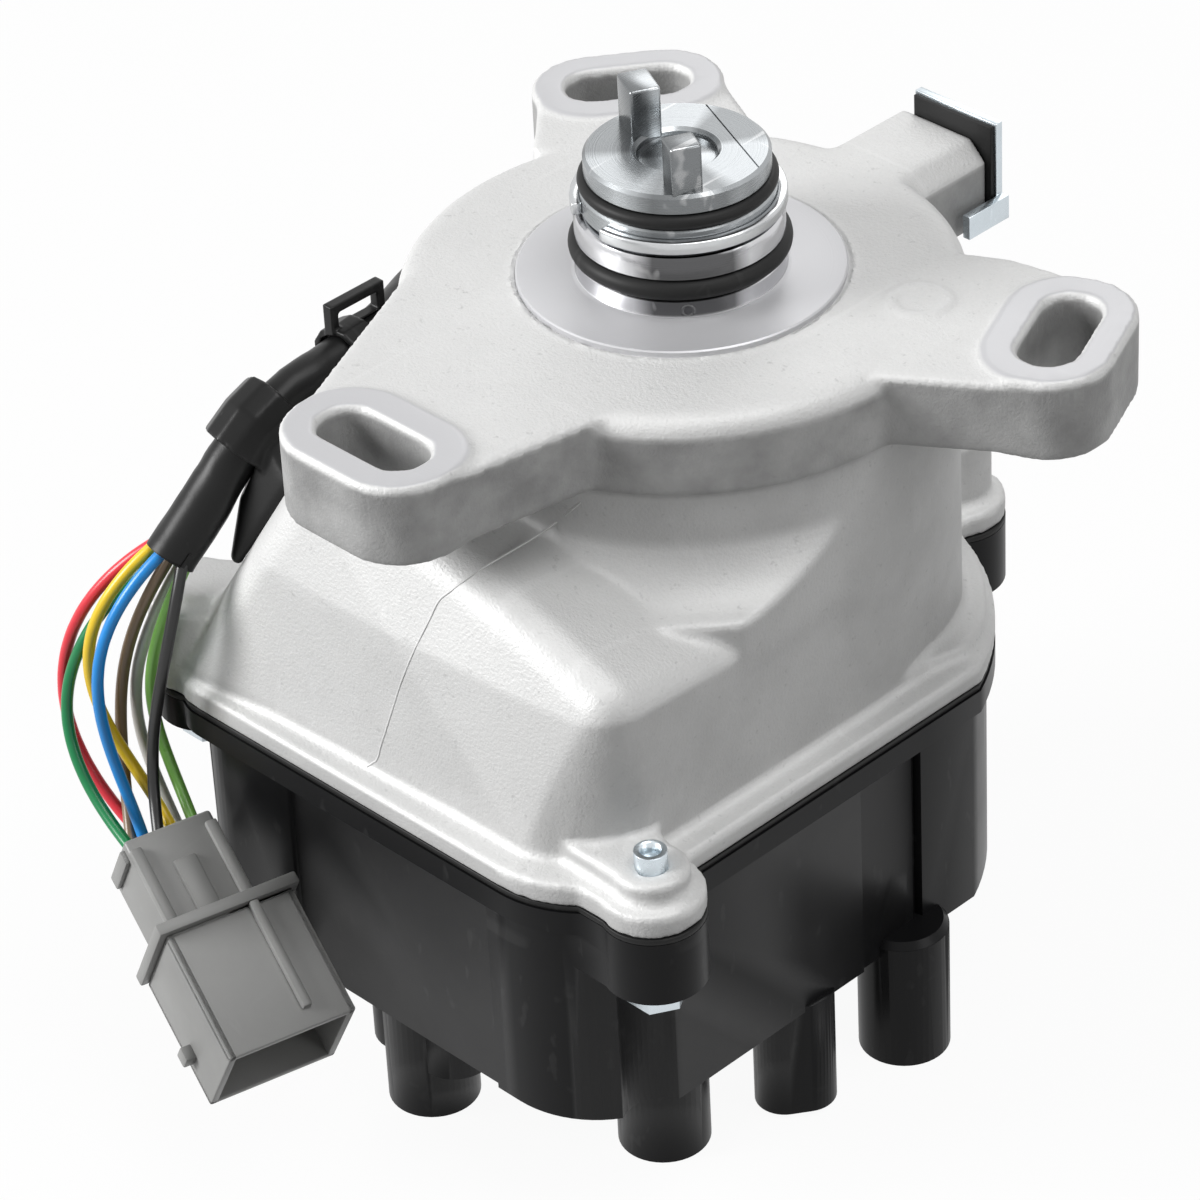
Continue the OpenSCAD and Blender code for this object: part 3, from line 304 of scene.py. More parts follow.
def bump(tree, shader, height, strength, distance):
    """Fine relief from a height, on the shader's normal."""
    node = add(tree, "ShaderNodeBump", {"Height": height, "Strength": strength, "Distance": distance})
    tree.links.new(node.outputs["Normal"], shader.inputs["Normal"])


def cast_alloy(colours, sizes):
    """Shot-blasted aluminium: painted shade on steep and downward-facing faces, most at the plate's rim;
    milled faces at the mounting plane.
    """
    made, tree, shader, place = shade("Cast alloy")
    grain = use(tree, "Grain", {"Vector": place, "Size": sizes.grain, "Patch": 0.012})
    marks = use(tree, "Handling marks", {"Vector": place, "Scale": 260.0})
    lines = use(tree, "Turned lines", {"Vector": place, "Pitch": 0.0005})
    height = add(tree, "ShaderNodeSeparateXYZ", {0: place}).outputs["Z"]
    normal = add(tree, "ShaderNodeNewGeometry").outputs["Normal"]
    facing = add(tree, "ShaderNodeSeparateXYZ", {0: normal}).outputs["Z"]
    milled = math_node(tree, "MULTIPLY", ramp(tree, height, -0.00045, -0.00015),
                       ramp(tree, facing, 0.8, 0.95))
    base = mix(tree, span(tree, grain["Patches"], 0.2, 0.8), tint(colours.casting, 0.9),
               tint(colours.casting, 1.1))
    base = mix(tree, span(tree, grain["Height"], 0.0, 0.35), base, tint(colours.casting, 0.72))
    base = mix(tree, span(tree, grain["Specks"], 0.0, 0.3), base, tint(colours.casting, 0.3))
    base = mix(tree, span(tree, marks["Marks"], 0.0, 0.14), base, (0.9, 0.9, 0.9))
    # Painted shade: steep and downward-facing faces are darkened towards 0.28 of the casting colour, more at
    # the plate's rim than lower down, mottled by the slow patches.
    rim = ramp(tree, height, -0.015, -0.013, 0.35, 0.75)
    blotch = ramp(tree, grain["Patches"], 0.35, 0.65, 0.75, 1.2)
    painted_wall_shade = math_node(tree, "MULTIPLY", ramp(tree, facing, 0.2, 0.02), rim)
    painted_wall_shade = math_node(tree, "MULTIPLY", painted_wall_shade, blotch, clamp=True)
    base = mix(tree, painted_wall_shade, base, tint(colours.casting, 0.28))
    base = mix(tree, milled, base, tuple(colours.machined))
    feed(tree, shader, {"Base Color": base, "Roughness": span(tree, milled, 0.52, 0.36), "Metallic": 0.18})
    soft = span(tree, lines["Height"], 0.45, 0.55)
    depth = add(tree, "ShaderNodeMix", {0: milled, 2: grain["Height"], 3: soft}, data_type="FLOAT")
    bump(tree, shader, depth.outputs[0], 0.6, 0.0002)
    return made


def turned_metal(name, base, rough, pitch, reflection_contrast, land=None):
    """Bright metal with lathe lines, a painted reflection of slow dark and light bands round the axis, and a
    matt land at z = 0.
    """
    made, tree, shader, place = shade(name)
    lines = use(tree, "Turned lines", {"Vector": place, "Pitch": pitch})
    marks = use(tree, "Handling marks", {"Vector": place, "Scale": 500.0})
    # Painted reflection: the colour swings between a darker and a lighter copy of the metal in the bands
    # round the axis.
    tone = mix(tree, ramp(tree, lines["Streaks"], 0.3, 0.6), tint(base, 1.0 - reflection_contrast), tint(base, 1.15))
    tone = mix(tree, span(tree, marks["Marks"], 0.0, 0.2), tone, (0.9, 0.9, 0.9))
    finish = span(tree, lines["Height"], rough * 0.7, rough * 1.3)
    metallic = 1.0
    if land:
        height = add(tree, "ShaderNodeSeparateXYZ", {0: place}).outputs["Z"]
        matt = ramp(tree, height, 0.0006, 0.0002)
        tone = mix(tree, matt, tone, land)
        finish = add(tree, "ShaderNodeMix", {0: matt, 2: finish, 3: 0.4}, data_type="FLOAT").outputs[0]
        metallic = span(tree, matt, 1.0, 0.35)
    feed(tree, shader, {"Base Color": tone, "Roughness": finish, "Metallic": metallic})
    bump(tree, shader, lines["Height"], 0.25, 0.00004)
    return made


def plain_metal(name, base, rough, metallic=1.0, depth=0.00003):
    """Pressed or plated metal with slight cloudiness and scratches."""
    made, tree, shader, place = shade(name)
    grain = use(tree, "Grain", {"Vector": place, "Size": 0.0006, "Patch": 0.006})
    marks = use(tree, "Handling marks", {"Vector": place, "Scale": 420.0})
    tone = mix(tree, grain["Patches"], tint(base, 0.82), tint(base, 1.12))
    tone = mix(tree, span(tree, marks["Marks"], 0.0, 0.3), tone, tint(base, 1.3))
    finish = span(tree, grain["Height"], rough * 0.8, rough * 1.25)
    feed(tree, shader, {"Base Color": tone, "Roughness": finish, "Metallic": metallic})
    bump(tree, shader, grain["Height"], 0.3, depth)
    return made


def moulded(name, base, rough, grain_size=0.0004, depth=0.00002, wear=0.25, gloss=0.5):
    """Moulded plastic or rubber: fine texture, slow patches of sheen and pale rub marks."""
    made, tree, shader, place = shade(name)
    grain = use(tree, "Grain", {"Vector": place, "Size": grain_size, "Patch": 0.015})
    marks = use(tree, "Handling marks", {"Vector": place, "Scale": 380.0})
    tone = mix(tree, grain["Patches"], tint(base, 0.8), tint(base, 1.25))
    pale = tuple(c + (0.35 - c) * 0.3 for c in base[:3])
    tone = mix(tree, span(tree, marks["Marks"], 0.0, wear), tone, pale)
    finish = span(tree, grain["Patches"], rough * 0.8, rough * 1.2)
    feed(tree, shader, {"Base Color": tone, "Roughness": finish, "Specular IOR Level": gloss})
    bump(tree, shader, grain["Height"], 0.4, depth)
    return made


def make_materials(colours, sizes):
    """Every finish of the distributor, by the name that the pieces use."""
    grain_group()
    marks_group()
    turned_group()
    wire = {"red": (0.72, 0.03, 0.05), "green": (0.0, 0.20, 0.06), "yellow": (0.85, 0.55, 0.02),
            "blue": (0.01, 0.25, 0.68), "brown": (0.22, 0.15, 0.09), "white": (0.72, 0.72, 0.68),
            "lime": (0.22, 0.52, 0.10), "black": (0.012, 0.012, 0.012)}
    made = {
        "cast_alloy": cast_alloy(colours, sizes),
        "neck_metal": turned_metal("Turned neck", tuple(colours.machined), 0.16, 0.00025, 0.8,
                                   tuple(colours.machined)),
        "machined_steel": turned_metal("Turned steel", tuple(colours.steel), 0.26, 0.0002, 0.4),
        "dark_steel": plain_metal("Dark steel", (0.22, 0.22, 0.23), 0.42),
        "spring_steel": plain_metal("Spring steel", (0.6, 0.61, 0.62), 0.22),
        "zinc_plate": plain_metal("Zinc plate", tuple(colours.zinc), 0.28),
        "bronze": plain_metal("Bronze", tuple(colours.bronze), 0.3),
        "seal_rubber": moulded("Seal rubber", tuple(colours.rubber), 0.5, 0.0003, 0.00002, 0.1, 0.2),
        "cap_plastic": moulded("Cap plastic", tuple(colours.cap), 0.34, 0.0005, 0.00001, 0.1, 0.13),
        "inner_plastic": moulded("Inner plastic", (0.05, 0.05, 0.055), 0.5),
        "coil_plastic": moulded("Rotor resin", tuple(colours.resin), 0.4),
        "carbon": moulded("Carbon", (0.02, 0.02, 0.02), 0.6),
        "sleeve_vinyl": moulded("Sleeve vinyl", tuple(colours.vinyl), 0.36, 0.0012, 0.00006, 0.1, 0.22),
        "clip_plastic": moulded("Clip plastic", tuple(colours.vinyl), 0.32, 0.0008, 0.00003, 0.1, 0.2),
        "connector_plastic": moulded("Connector plastic", tuple(colours.connector), 0.42, 0.0005, 0.00003,
                                     0.35),
    }
    for name, value in wire.items():
        made["wire_" + name] = moulded("Wire " + name, value, 0.3, 0.0012, 0.00001, 0.05, 0.5)
    return made


# Mesh helpers, all in millimetres until a piece is finished

def finish_piece(name, bm, body, material, replaces=(), angle=35):
    """Turns a bmesh in millimetres into a piece that rides on a body."""
    bmesh.ops.remove_doubles(bm, verts=bm.verts, dist=0.0005)
    bmesh.ops.recalc_face_normals(bm, faces=bm.faces)
    bmesh.ops.scale(bm, vec=(MM, MM, MM), verts=bm.verts)
    mesh = bpy.data.meshes.new(name)
    bm.to_mesh(mesh)
    bm.free()
    return place_mesh(name, mesh, body, material, replaces, angle)


def place_mesh(name, mesh, body, material, replaces=(), angle=35):
    """A finished mesh as a smooth-shaded piece on its body, with its finish and its nodes."""
    mesh.shade_smooth()
    mesh.set_sharp_from_angle(angle=math.radians(angle))
    piece = bpy.data.objects.new(name, mesh)
    bpy.context.scene.collection.objects.link(piece)
    mesh.materials.clear()
    mesh.materials.append(MATERIALS[material])
    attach(piece, body)
    if replaces:
        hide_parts(*replaces)
    return piece


def cone(bm, r1, r2, z1, z2, at, segments=64):
    """A closed cylinder or cone between two levels, at a place in plan."""
    bmesh.ops.create_cone(bm, cap_ends=True, segments=segments, radius1=r1, radius2=r2, depth=z2 - z1,
                          matrix=Matrix.Translation((*at, (z1 + z2) / 2)))


def box(bm, low, high, edge=0.0, segments=3, turn=None):
    """A box between two corners, with rounded edges and a place of its own."""
    low, high = Vector(low), Vector(high)
    size = high - low
    matrix = Matrix.Translation((low + high) / 2) @ Matrix.Diagonal((*size, 1))
    verts = bmesh.ops.create_cube(bm, size=1, matrix=matrix)["verts"]
    faces = {f for v in verts for f in v.link_faces}
    if edge:
        edges = list({e for f in faces for e in f.edges})
        made = bmesh.ops.bevel(bm, geom=edges, offset=edge, offset_type="OFFSET", segments=segments,
                               profile=0.5, affect="EDGES", material=-1, clamp_overlap=True)
        verts = list({v for f in made["faces"] for e in f.edges for g in e.link_faces for v in g.verts})
    if turn:
        bmesh.ops.transform(bm, matrix=turn, verts=verts)


def lathe(bm, profile, segments=128, turn=None):
    """Spins a closed profile of radius and height points round the Z axis."""
    verts = [bm.verts.new((r, 0, z)) for r, z in profile]
    edges = [bm.edges.new(p) for p in zip(verts, verts[1:] + verts[:1])]
    bmesh.ops.spin(bm, geom=verts + edges, cent=(0, 0, 0), axis=(0, 0, 1), angle=2 * math.pi,
                   steps=segments, use_merge=True, use_duplicate=False)
    bmesh.ops.remove_doubles(bm, verts=bm.verts, dist=0.0005)
    if turn:
        bmesh.ops.transform(bm, matrix=turn, verts=bm.verts)


def torus(bm, radius, thick, z, segments=128, sides=20):
    """A round rubber ring about the Z axis."""
    profile = [(radius + thick / 2 * math.cos(2 * math.pi * k / sides),
                z + thick / 2 * math.sin(2 * math.pi * k / sides)) for k in range(sides)]
    lathe(bm, profile, segments)


def push(bm, faces, way):
    """Extrudes faces along a vector."""
    made = bmesh.ops.extrude_face_region(bm, geom=faces)
    bmesh.ops.translate(bm, vec=way, verts=[g for g in made["geom"] if isinstance(g, bmesh.types.BMVert)])


def bevel_sharp(bm, width, segments=2, limit=40):
    """Breaks the edges that are sharper than a limit."""
    edges = [e for e in bm.edges if len(e.link_faces) == 2 and e.calc_face_angle(0) > math.radians(limit)]
    bmesh.ops.bevel(bm, geom=edges, offset=width, offset_type="OFFSET", segments=segments, profile=0.5,
                    affect="EDGES", material=-1, clamp_overlap=True)


def cad_copy(node):
    """A bmesh of a CAD node in millimetres, its loose triangles merged."""
    bm = bmesh.new()
    bm.from_mesh(NODES[node].data)
    bmesh.ops.scale(bm, vec=(1 / MM, 1 / MM, 1 / MM), verts=bm.verts)
    bmesh.ops.remove_doubles(bm, verts=bm.verts, dist=0.0008)
    return bm


def melted(name, bm, voxel, rounds, ratio=1.0):
    """Rounds a solid by voxel remesh, smoothing and fewer faces; gives a mesh in metres."""
    bmesh.ops.scale(bm, vec=(MM, MM, MM), verts=bm.verts)
    mesh = bpy.data.meshes.new(name)
    bm.to_mesh(mesh)
    bm.free()
    work = bpy.data.objects.new(name + ".work", mesh)
    bpy.context.scene.collection.objects.link(work)
    remesh = work.modifiers.new("Remesh", "REMESH")
    remesh.mode = "VOXEL"
    remesh.voxel_size = voxel
    soft = work.modifiers.new("Smooth", "SMOOTH")
    soft.factor = 0.5
    soft.iterations = rounds
    if ratio < 1:
        thin = work.modifiers.new("Decimate", "DECIMATE")
        thin.ratio = ratio
    graph = bpy.context.evaluated_depsgraph_get()
    done = bpy.data.meshes.new_from_object(work.evaluated_get(graph), depsgraph=graph)
    bpy.data.objects.remove(work)
    bpy.data.meshes.remove(mesh)
    done.name = name
    return done


def in_connector(x, y, z):
    """Point of the connector's own frame in the object's frame, in millimetres."""
    u = math.cos(CONN_TILT) * x + math.sin(CONN_TILT) * z
    w = math.cos(CONN_TILT) * z - math.sin(CONN_TILT) * x
    return CONN_AT + Vector((math.cos(CONN_YAW) * u - math.sin(CONN_YAW) * y,
                             math.sin(CONN_YAW) * u + math.cos(CONN_YAW) * y, w))


def connector_matrix():
    """Place and turn of the connector's own frame."""
    origin = in_connector(0, 0, 0)
    axes = [in_connector(*a) - origin for a in ((1, 0, 0), (0, 1, 0), (0, 0, 1))]
    turn = Matrix((axes[0], axes[1], axes[2])).transposed().to_4x4()
    return Matrix.Translation(origin) @ turn


def in_sleeve(place):
    """Place of a wire in the sleeve's end: seven round one in the middle, in millimetres."""
    end = Vector(SLEEVE[-1])
    heading = (end - Vector(SLEEVE[-2])).normalized()
    side = heading.cross(Vector((0.31, 0.87, 0.12))).normalized()
    other = heading.cross(side)
    angle = place * 2 * math.pi / 7
    around = Vector() if place == 7 else 2.45 * (math.cos(angle) * side + math.sin(angle) * other)
    return end - heading * WIRE_START + around


def wire_route(place, hole, first, second):
    """Points of one wire from the sleeve to its hole in the connector, in millimetres."""
    start = in_sleeve(place)
    end = in_connector(CONN_BACK + 3, WIRE_Y[hole[0]], WIRE_Z[hole[1]])
    points = []
    for i in range(WIRE_POINTS):
        t = i / (WIRE_POINTS - 1)
        u = 1 - t
        points.append(u ** 3 * start + 3 * u * u * t * Vector(first) + 3 * u * t * t * Vector(second)
                      + t ** 3 * end)
    return points


def tube_curve(name, points, radius, radii=None, resolution=8):
    """A smooth round curve object through points given in millimetres."""
    data = bpy.data.curves.new(name, "CURVE")
    data.dimensions = "3D"
    data.bevel_depth = radius * MM
    data.bevel_resolution = resolution
    data.resolution_u = 6
    data.use_fill_caps = True
    spline = data.splines.new("BEZIER")
    spline.bezier_points.add(len(points) - 1)
    for k, (point, knot) in enumerate(zip(points, spline.bezier_points)):
        knot.co = Vector(point) * MM
        knot.handle_left_type = "AUTO"
        knot.handle_right_type = "AUTO"
        knot.radius = radii[k] if radii else 1.0
    return bpy.data.objects.new(name, data)


def curve_mesh(curve):
    """The mesh of a curve object, which is then removed."""
    bpy.context.scene.collection.objects.link(curve)
    graph = bpy.context.evaluated_depsgraph_get()
    mesh = bpy.data.meshes.new_from_object(curve.evaluated_get(graph), depsgraph=graph)
    data = curve.data
    bpy.data.objects.remove(curve)
    bpy.data.curves.remove(data)
    return mesh


# Operators: the camera and the lead come first

class DISTRIBUTOR_OT_stage(bpy.types.Operator):
    """Build the floor, the soft lights, the world and the camera"""

    bl_idname = "distributor.stage"
    bl_label = "Studio"

    def execute(self, context):
        self.camera(context)
        self.floor()
        self.lights()
        self.world(context)
        return {"FINISHED"}

    def camera(self, context):
        """Camera as fitted to the photo: focal length and shift in its pixels, distance in metres."""
        data = bpy.data.cameras.new("Camera")
        data.sensor_width = 36
        data.lens = 162.05
        data.clip_start = 0.01
        data.clip_end = 50
        eye = bpy.data.objects.new("Camera", data)
        context.scene.collection.objects.link(eye)
        azimuth, elevation, roll = (math.radians(a) for a in (46.829, 34.692, 3.098))
        focal, distance, shift_x, shift_y = 5401.608, 0.80576, 681.529 - 600, 263.131 - 600
        right = Vector((math.cos(azimuth), math.sin(azimuth), 0))
        back = Vector((math.sin(azimuth) * math.cos(elevation), -math.cos(azimuth) * math.cos(elevation),
                       math.sin(elevation)))
        up = back.cross(right)
        across = right * math.cos(roll) - up * math.sin(roll)
        above = up * math.cos(roll) + right * math.sin(roll)
        place = distance * (back - across * shift_x / focal + above * shift_y / focal)
        eye.matrix_world = Matrix.Translation(place) @ Matrix((across, above, back)).transposed().to_4x4()
        context.scene.camera = eye

    def floor(self):
        """Pale floor below the cap, near white where the camera sees it."""
        bm = bmesh.new()
        bmesh.ops.create_circle(bm, cap_ends=True, segments=96, radius=6,
                                matrix=Matrix.Translation((0, 0, STAND_Z * MM)))
        mesh = bpy.data.meshes.new("Floor")
        bm.to_mesh(mesh)
        bm.free()
        ground = bpy.data.objects.new("Floor", mesh)
        bpy.context.scene.collection.objects.link(ground)
        made = bpy.data.materials.new("Pale floor")
        made.use_nodes = True
        tree = made.node_tree
        shader = tree.nodes["Principled BSDF"]
        shader.inputs["Roughness"].default_value = 0.9
        shader.inputs["Specular IOR Level"].default_value = 0.1
        glow = add(tree, "ShaderNodeEmission", {"Color": (1, 1, 1, 1), "Strength": 1.0})
        seen = seen_directly(tree)
        tree.links.new(mix(tree, seen, (0.2, 0.2, 0.2), (0.85, 0.85, 0.85)), shader.inputs["Base Color"])
        share = math_node(tree, "MULTIPLY", seen, 0.94)
        blend = add(tree, "ShaderNodeMixShader", {0: share, 1: shader.outputs[0], 2: glow.outputs[0]})
        tree.links.new(blend.outputs[0], tree.nodes["Material Output"].inputs["Surface"])
        mesh.materials.append(made)

    def lights(self):
        """Soft round lamps that face the distributor."""
        for name, place, size, power in LAMPS:
            data = bpy.data.lights.new(name, "AREA")
            data.shape = "DISK"
            data.size = size
            data.energy = power
            lamp = bpy.data.objects.new(name, data)
            bpy.context.scene.collection.objects.link(lamp)
            aim = Vector((0, 0, -0.05)) - Vector(place)
            lamp.matrix_world = Matrix.Translation(place) @ aim.to_track_quat("-Z", "Y").to_matrix().to_4x4()

    def world(self, context):
        """White background that hardly lights."""
        world = bpy.data.worlds.new("Studio")
        world.use_nodes = True
        tree = world.node_tree
        sky = tree.nodes["Background"]
        sky.inputs["Color"].default_value = (1, 1, 1, 1)
        tree.links.new(span(tree, seen_directly(tree), 0.08, 1.0), sky.inputs["Strength"])
        context.scene.world = world
        context.scene.view_settings.view_transform = "Standard"


def seen_directly(tree):
    """1 where the camera, a reflection or glass sees the background, and 0 where it only lights."""
    path = add(tree, "ShaderNodeLightPath").outputs
    first = math_node(tree, "MAXIMUM", path["Is Camera Ray"], path["Is Glossy Ray"])
    return math_node(tree, "MAXIMUM", first, path["Is Transmission Ray"])


class DISTRIBUTOR_OT_connector(bpy.types.Operator):
    """Build the grey plug on the lead"""

    bl_idname = "distributor.connector"
    bl_label = "Connector"

    def execute(self, context):
        bm = bmesh.new()
        wall = 1.4
        parts = [((-SHROUD_L, 0, 0), (0, CONN_W, wall)),
                 ((-SHROUD_L, 0, CONN_T - wall), (0, CONN_W, CONN_T)),
                 ((-SHROUD_L, 0, 0), (0, wall, CONN_T)),
                 ((-SHROUD_L, CONN_W - wall, 0), (0, CONN_W, CONN_T)),
                 ((-SHROUD_L - 2, -1.2, 0), (-SHROUD_L, CONN_W + 1.2, CONN_T + 1.2)),
                 ((-SHROUD_L, 0, 0), (-SHROUD_L + 1, CONN_W, CONN_T)),
                 ((-SHROUD_L, 14, CONN_T - 1), (-3, 15.6, CONN_T + 1.2)),
                 ((-9, -1.8, 2), (-6.5, 0.2, 5))]
        for low, high in parts:
            box(bm, low, high, 0.35, 2)
        for k in (1, 2):
            shelf = CONN_T - wall - 1.6 * k
            box(bm, (-SHROUD_L, 0.4, shelf), (-1.5 * k, 16, shelf + 0.8), 0.2, 1)
        self.rear(bm)
        bmesh.ops.transform(bm, matrix=connector_matrix(), verts=bm.verts)
        finish_piece("connector_shell", bm, "body", "connector_plastic", ["connector_housing"])
        return {"FINISHED"}

    def rear(self, bm):
        """Rear block with its ridges and the rib on its side."""
        box(bm, (CONN_BACK, 2, 2.5), (-SHROUD_L - 1, 17, 15), 0.6, 3)
        for y in (2.0, 15.0):
            box(bm, (CONN_BACK + 2, y, 14), (-SHROUD_L - 1, y + 2.0, 15.9), 0.4, 2)
        box(bm, (CONN_BACK + 6, 7.5, 14), (-SHROUD_L - 1, 11.5, 15.7), 0.5, 2)
        box(bm, (CONN_BACK + 0.8, 1.2, 4), (CONN_BACK + 3.2, 2.4, 13.5), 0.3, 2)


class DISTRIBUTOR_OT_wires(bpy.types.Operator):
    """Build the eight wires from the sleeve to the connector"""

    bl_idname = "distributor.wires"
    bl_label = "Wires"

    def execute(self, context):
        thick = context.scene.distributor_sizes.wire
        for name, (place, hole, first, second) in WIRES.items():
            points = wire_route(place, hole, first, second)
            curve = tube_curve("lead_" + name, points, thick / 2 / MM, resolution=5)
            bpy.context.scene.collection.objects.link(curve)
            curve.data.materials.append(MATERIALS["wire_" + name])
            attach(curve, "body")
            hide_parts("wire_" + name)
        return {"FINISHED"}


class DISTRIBUTOR_OT_sleeve(bpy.types.Operator):
    """Build the sleeve of the lead, its clip and its tie loop"""

    bl_idname = "distributor.sleeve"
    bl_label = "Sleeve and clips"

    def execute(self, context):
        self.sleeve()
        for name, node, voxel, rounds in (("lead_clip", "harness_clip", 0.00035, 6),
                                          ("lead_loop", "harness_loop", 0.00022, 4)):
            mesh = melted(name, cad_copy(node), voxel, rounds, 0.5)
            place_mesh(name, mesh, "body", "clip_plastic", [node], angle=60)
        return {"FINISHED"}

    def sleeve(self):
        """Vinyl sleeve, creased where it bends, with a hollow end where the wires come out."""
        radii = [1.0] * 8 + [0.97, 0.9, 0.86, 0.9, 0.95, 0.98, 1.0, 1.0]
        mesh = curve_mesh(tube_curve("sleeve", SLEEVE, 4.2, radii, resolution=10))
        for vert in mesh.vertices:
            wave = noise.noise(vert.co * 300) * 0.00018 + noise.noise(vert.co * 120) * 0.0002
            vert.co += vert.normal * min(0.0, wave - 0.0001)
        end = Vector(SLEEVE[-1]) * MM
        way = (Vector(SLEEVE[-1]) - Vector(SLEEVE[-2])).normalized()
        bm = bmesh.new()
        bm.from_mesh(mesh)
        caps = self.end_faces(bm, end, way, 0.0015)
        bmesh.ops.inset_region(bm, faces=caps, thickness=0.0006, use_even_offset=True)
        inner = self.end_faces(bm, end, way, 0.0008)
        push(bm, inner, -way * 0.0024)
        bmesh.ops.delete(bm, geom=inner, context="FACES_ONLY")
        bmesh.ops.recalc_face_normals(bm, faces=bm.faces)
        bm.to_mesh(mesh)
        bm.free()
        place_mesh("lead_sleeve", mesh, "body", "sleeve_vinyl", ["harness_sleeve"], angle=50)

    def end_faces(self, bm, end, way, reach):
        """Faces across the sleeve's end, within a distance of its middle."""
        return [f for f in bm.faces if (f.calc_center_median() - end).length < reach
                and abs(f.normal.dot(way)) > 0.9]


class DISTRIBUTOR_OT_casting(bpy.types.Operator):
    """Build the cast body with its rounded edges and milled ears"""

    bl_idname = "distributor.casting"
    bl_label = "Casting"

    def execute(self, context):
        sizes = context.scene.distributor_sizes
        voxel = sizes.voxel * 1
        rough = melted("rough", cad_copy("housing"), voxel, 1)
        self.foot(rough)
        bm = bmesh.new()
        bm.from_mesh(rough)
        bmesh.ops.scale(bm, vec=(1 / MM, 1 / MM, 1 / MM), verts=bm.verts)
        bpy.data.meshes.remove(rough)
        self.details(bm)
        mesh = melted("casting", bm, voxel, 3, 0.32)
        self.settle(mesh)
        place_mesh("casting", mesh, "body", "cast_alloy", ["housing"], angle=60)
        self.parting(mesh)
        return {"FINISHED"}

    def parting(self, mesh):
        """Fine line that the mould left down the front wall."""
        tree = BVHTree.FromPolygons([v.co for v in mesh.vertices], [p.vertices for p in mesh.polygons])
        points = []
        for (x1, z1), (x2, z2) in zip(PARTING, PARTING[1:]):
            for k in range(5):
                t = k / 5
                start = Vector((x1 + (x2 - x1) * t, -90, z1 + (z2 - z1) * t)) * MM
                points.append(tree.ray_cast(start, Vector((0, 1, 0)))[0] / MM + Vector((0, 0.08, 0)))
        line = curve_mesh(tube_curve("parting", points, 0.2, resolution=3))
        place_mesh("parting_line", line, "body", "cast_alloy", angle=60)

    def foot(self, mesh):
        """Draws in the foot of the front and right walls, so that the flange shows as a level band."""
        for vert in mesh.vertices:
            x, y, z = vert.co / MM
            past = x > 23.5 and y < -47 and math.hypot(x - 23.5, y + 47) > 18.3
            if z < SEAM_TOP + 0.25 or z > FOOT_TOP or x > 41.8 or y < -65.3 or past:
                continue
            low = min(1.0, (FOOT_TOP - z) / 24)
            side = min(1.0, max(0.0, (x - 22) / 10)) * min(1.0, max(0.0, (26 - y) / 14))
            front = min(1.0, max(0.0, (-y - 46) / 8)) * min(1.0, max(0.0, (x + 44) / 16))
            vert.co.x -= FOOT_DEPTH * MM * side * low
            vert.co.y += (FOOT_DEPTH - 1.1 + 1.1 * min(1.0, max(0.0, (x + 30) / 40))) * MM * front * low

    def details(self, bm):
        """Raised ring on the plate, and the pad of the front lug out to the wall."""
        box(bm, (27, -59.1, SEAM_TOP - 3), (43, -50, SEAM_TOP + 3.95))
        extra = bmesh.new()
        lathe(extra, [(3.6, -1.6), (4.9, -1.6), (4.9, -0.35), (3.6, -0.35)], 48,
              turn=Matrix.Translation((33, 16.3, 0)))
        work = bpy.data.meshes.new("details")
        extra.to_mesh(work)
        extra.free()
        bm.from_mesh(work)
        bpy.data.meshes.remove(work)

    def settle(self, mesh):
        """Draws the casting in under the machined neck and its ring."""
        for vert in mesh.vertices:
            x, y, z = vert.co / MM
            radius = math.hypot(x, y)
            if radius < NECK_R + 1.2 and z > -2.5:
                vert.co = Vector((x * 0.94, y * 0.94, min(z - 0.5, NECK_H - 0.7))) * MM
            elif radius < LAND_R + 0.6 and z > -2.5:
                vert.co.z = min(vert.co.z, -1.0 * MM)
            else:
                vert.co.z = min(vert.co.z, 0.0)


class DISTRIBUTOR_OT_neck(bpy.types.Operator):
    """Build the machined neck with its ring groove, land and oil hole"""

    bl_idname = "distributor.neck"
    bl_label = "Machined neck"

    def execute(self, context):
        groove = NECK_R - 2.2
        bm = bmesh.new()
        lathe(bm, [(8.15, -1.6), (8.15, NECK_H - 0.5), (8.7, NECK_H), (NECK_R - 1.0, NECK_H),
                   (NECK_R - 0.3, NECK_H - 0.25), (NECK_R, NECK_H - 0.9), (NECK_R, 6.6),
                   (NECK_R - 0.15, 6.45), (groove, 6.4), (groove, 3.0), (NECK_R - 0.15, 2.95),
                   (NECK_R, 2.8), (NECK_R, 0.9), (NECK_R + 0.2, 0.3), (NECK_R + 0.8, 0.02),
                   (LAND_R - 0.25, 0.0), (LAND_R, -0.2), (LAND_R, -1.6)], 160)
        finish_piece("neck_collar", bm, "body", "neck_metal", (), 30)
        bm = bmesh.new()
        place = Matrix.Rotation(math.radians(-42), 4, "Z") @ Matrix.Translation((NECK_R + 0.02, 0, 1.35))
        place = place @ Matrix.Rotation(math.radians(90), 4, "Y")
        lathe(bm, [(0.62, -0.4), (1.15, -0.4), (1.15, 0.02), (0.9, 0.16), (0.62, 0.02)], 32, turn=place)
        finish_piece("oil_hole", bm, "body", "neck_metal", (), 30)
        # Painted shade: a dark disc just under the lip of the oil hole stands in for the shade inside the
        # hole.
        bm = bmesh.new()
        bmesh.ops.create_circle(bm, cap_ends=True, segments=24, radius=0.66,
                                matrix=place @ Matrix.Translation((0, 0, 0.02)))
        push(bm, bm.faces[:], -(place.to_3x3() @ Vector((0, 0, 0.3))))
        finish_piece("oil_hole_shade_disc", bm, "body", "inner_plastic", (), 30)
        return {"FINISHED"}


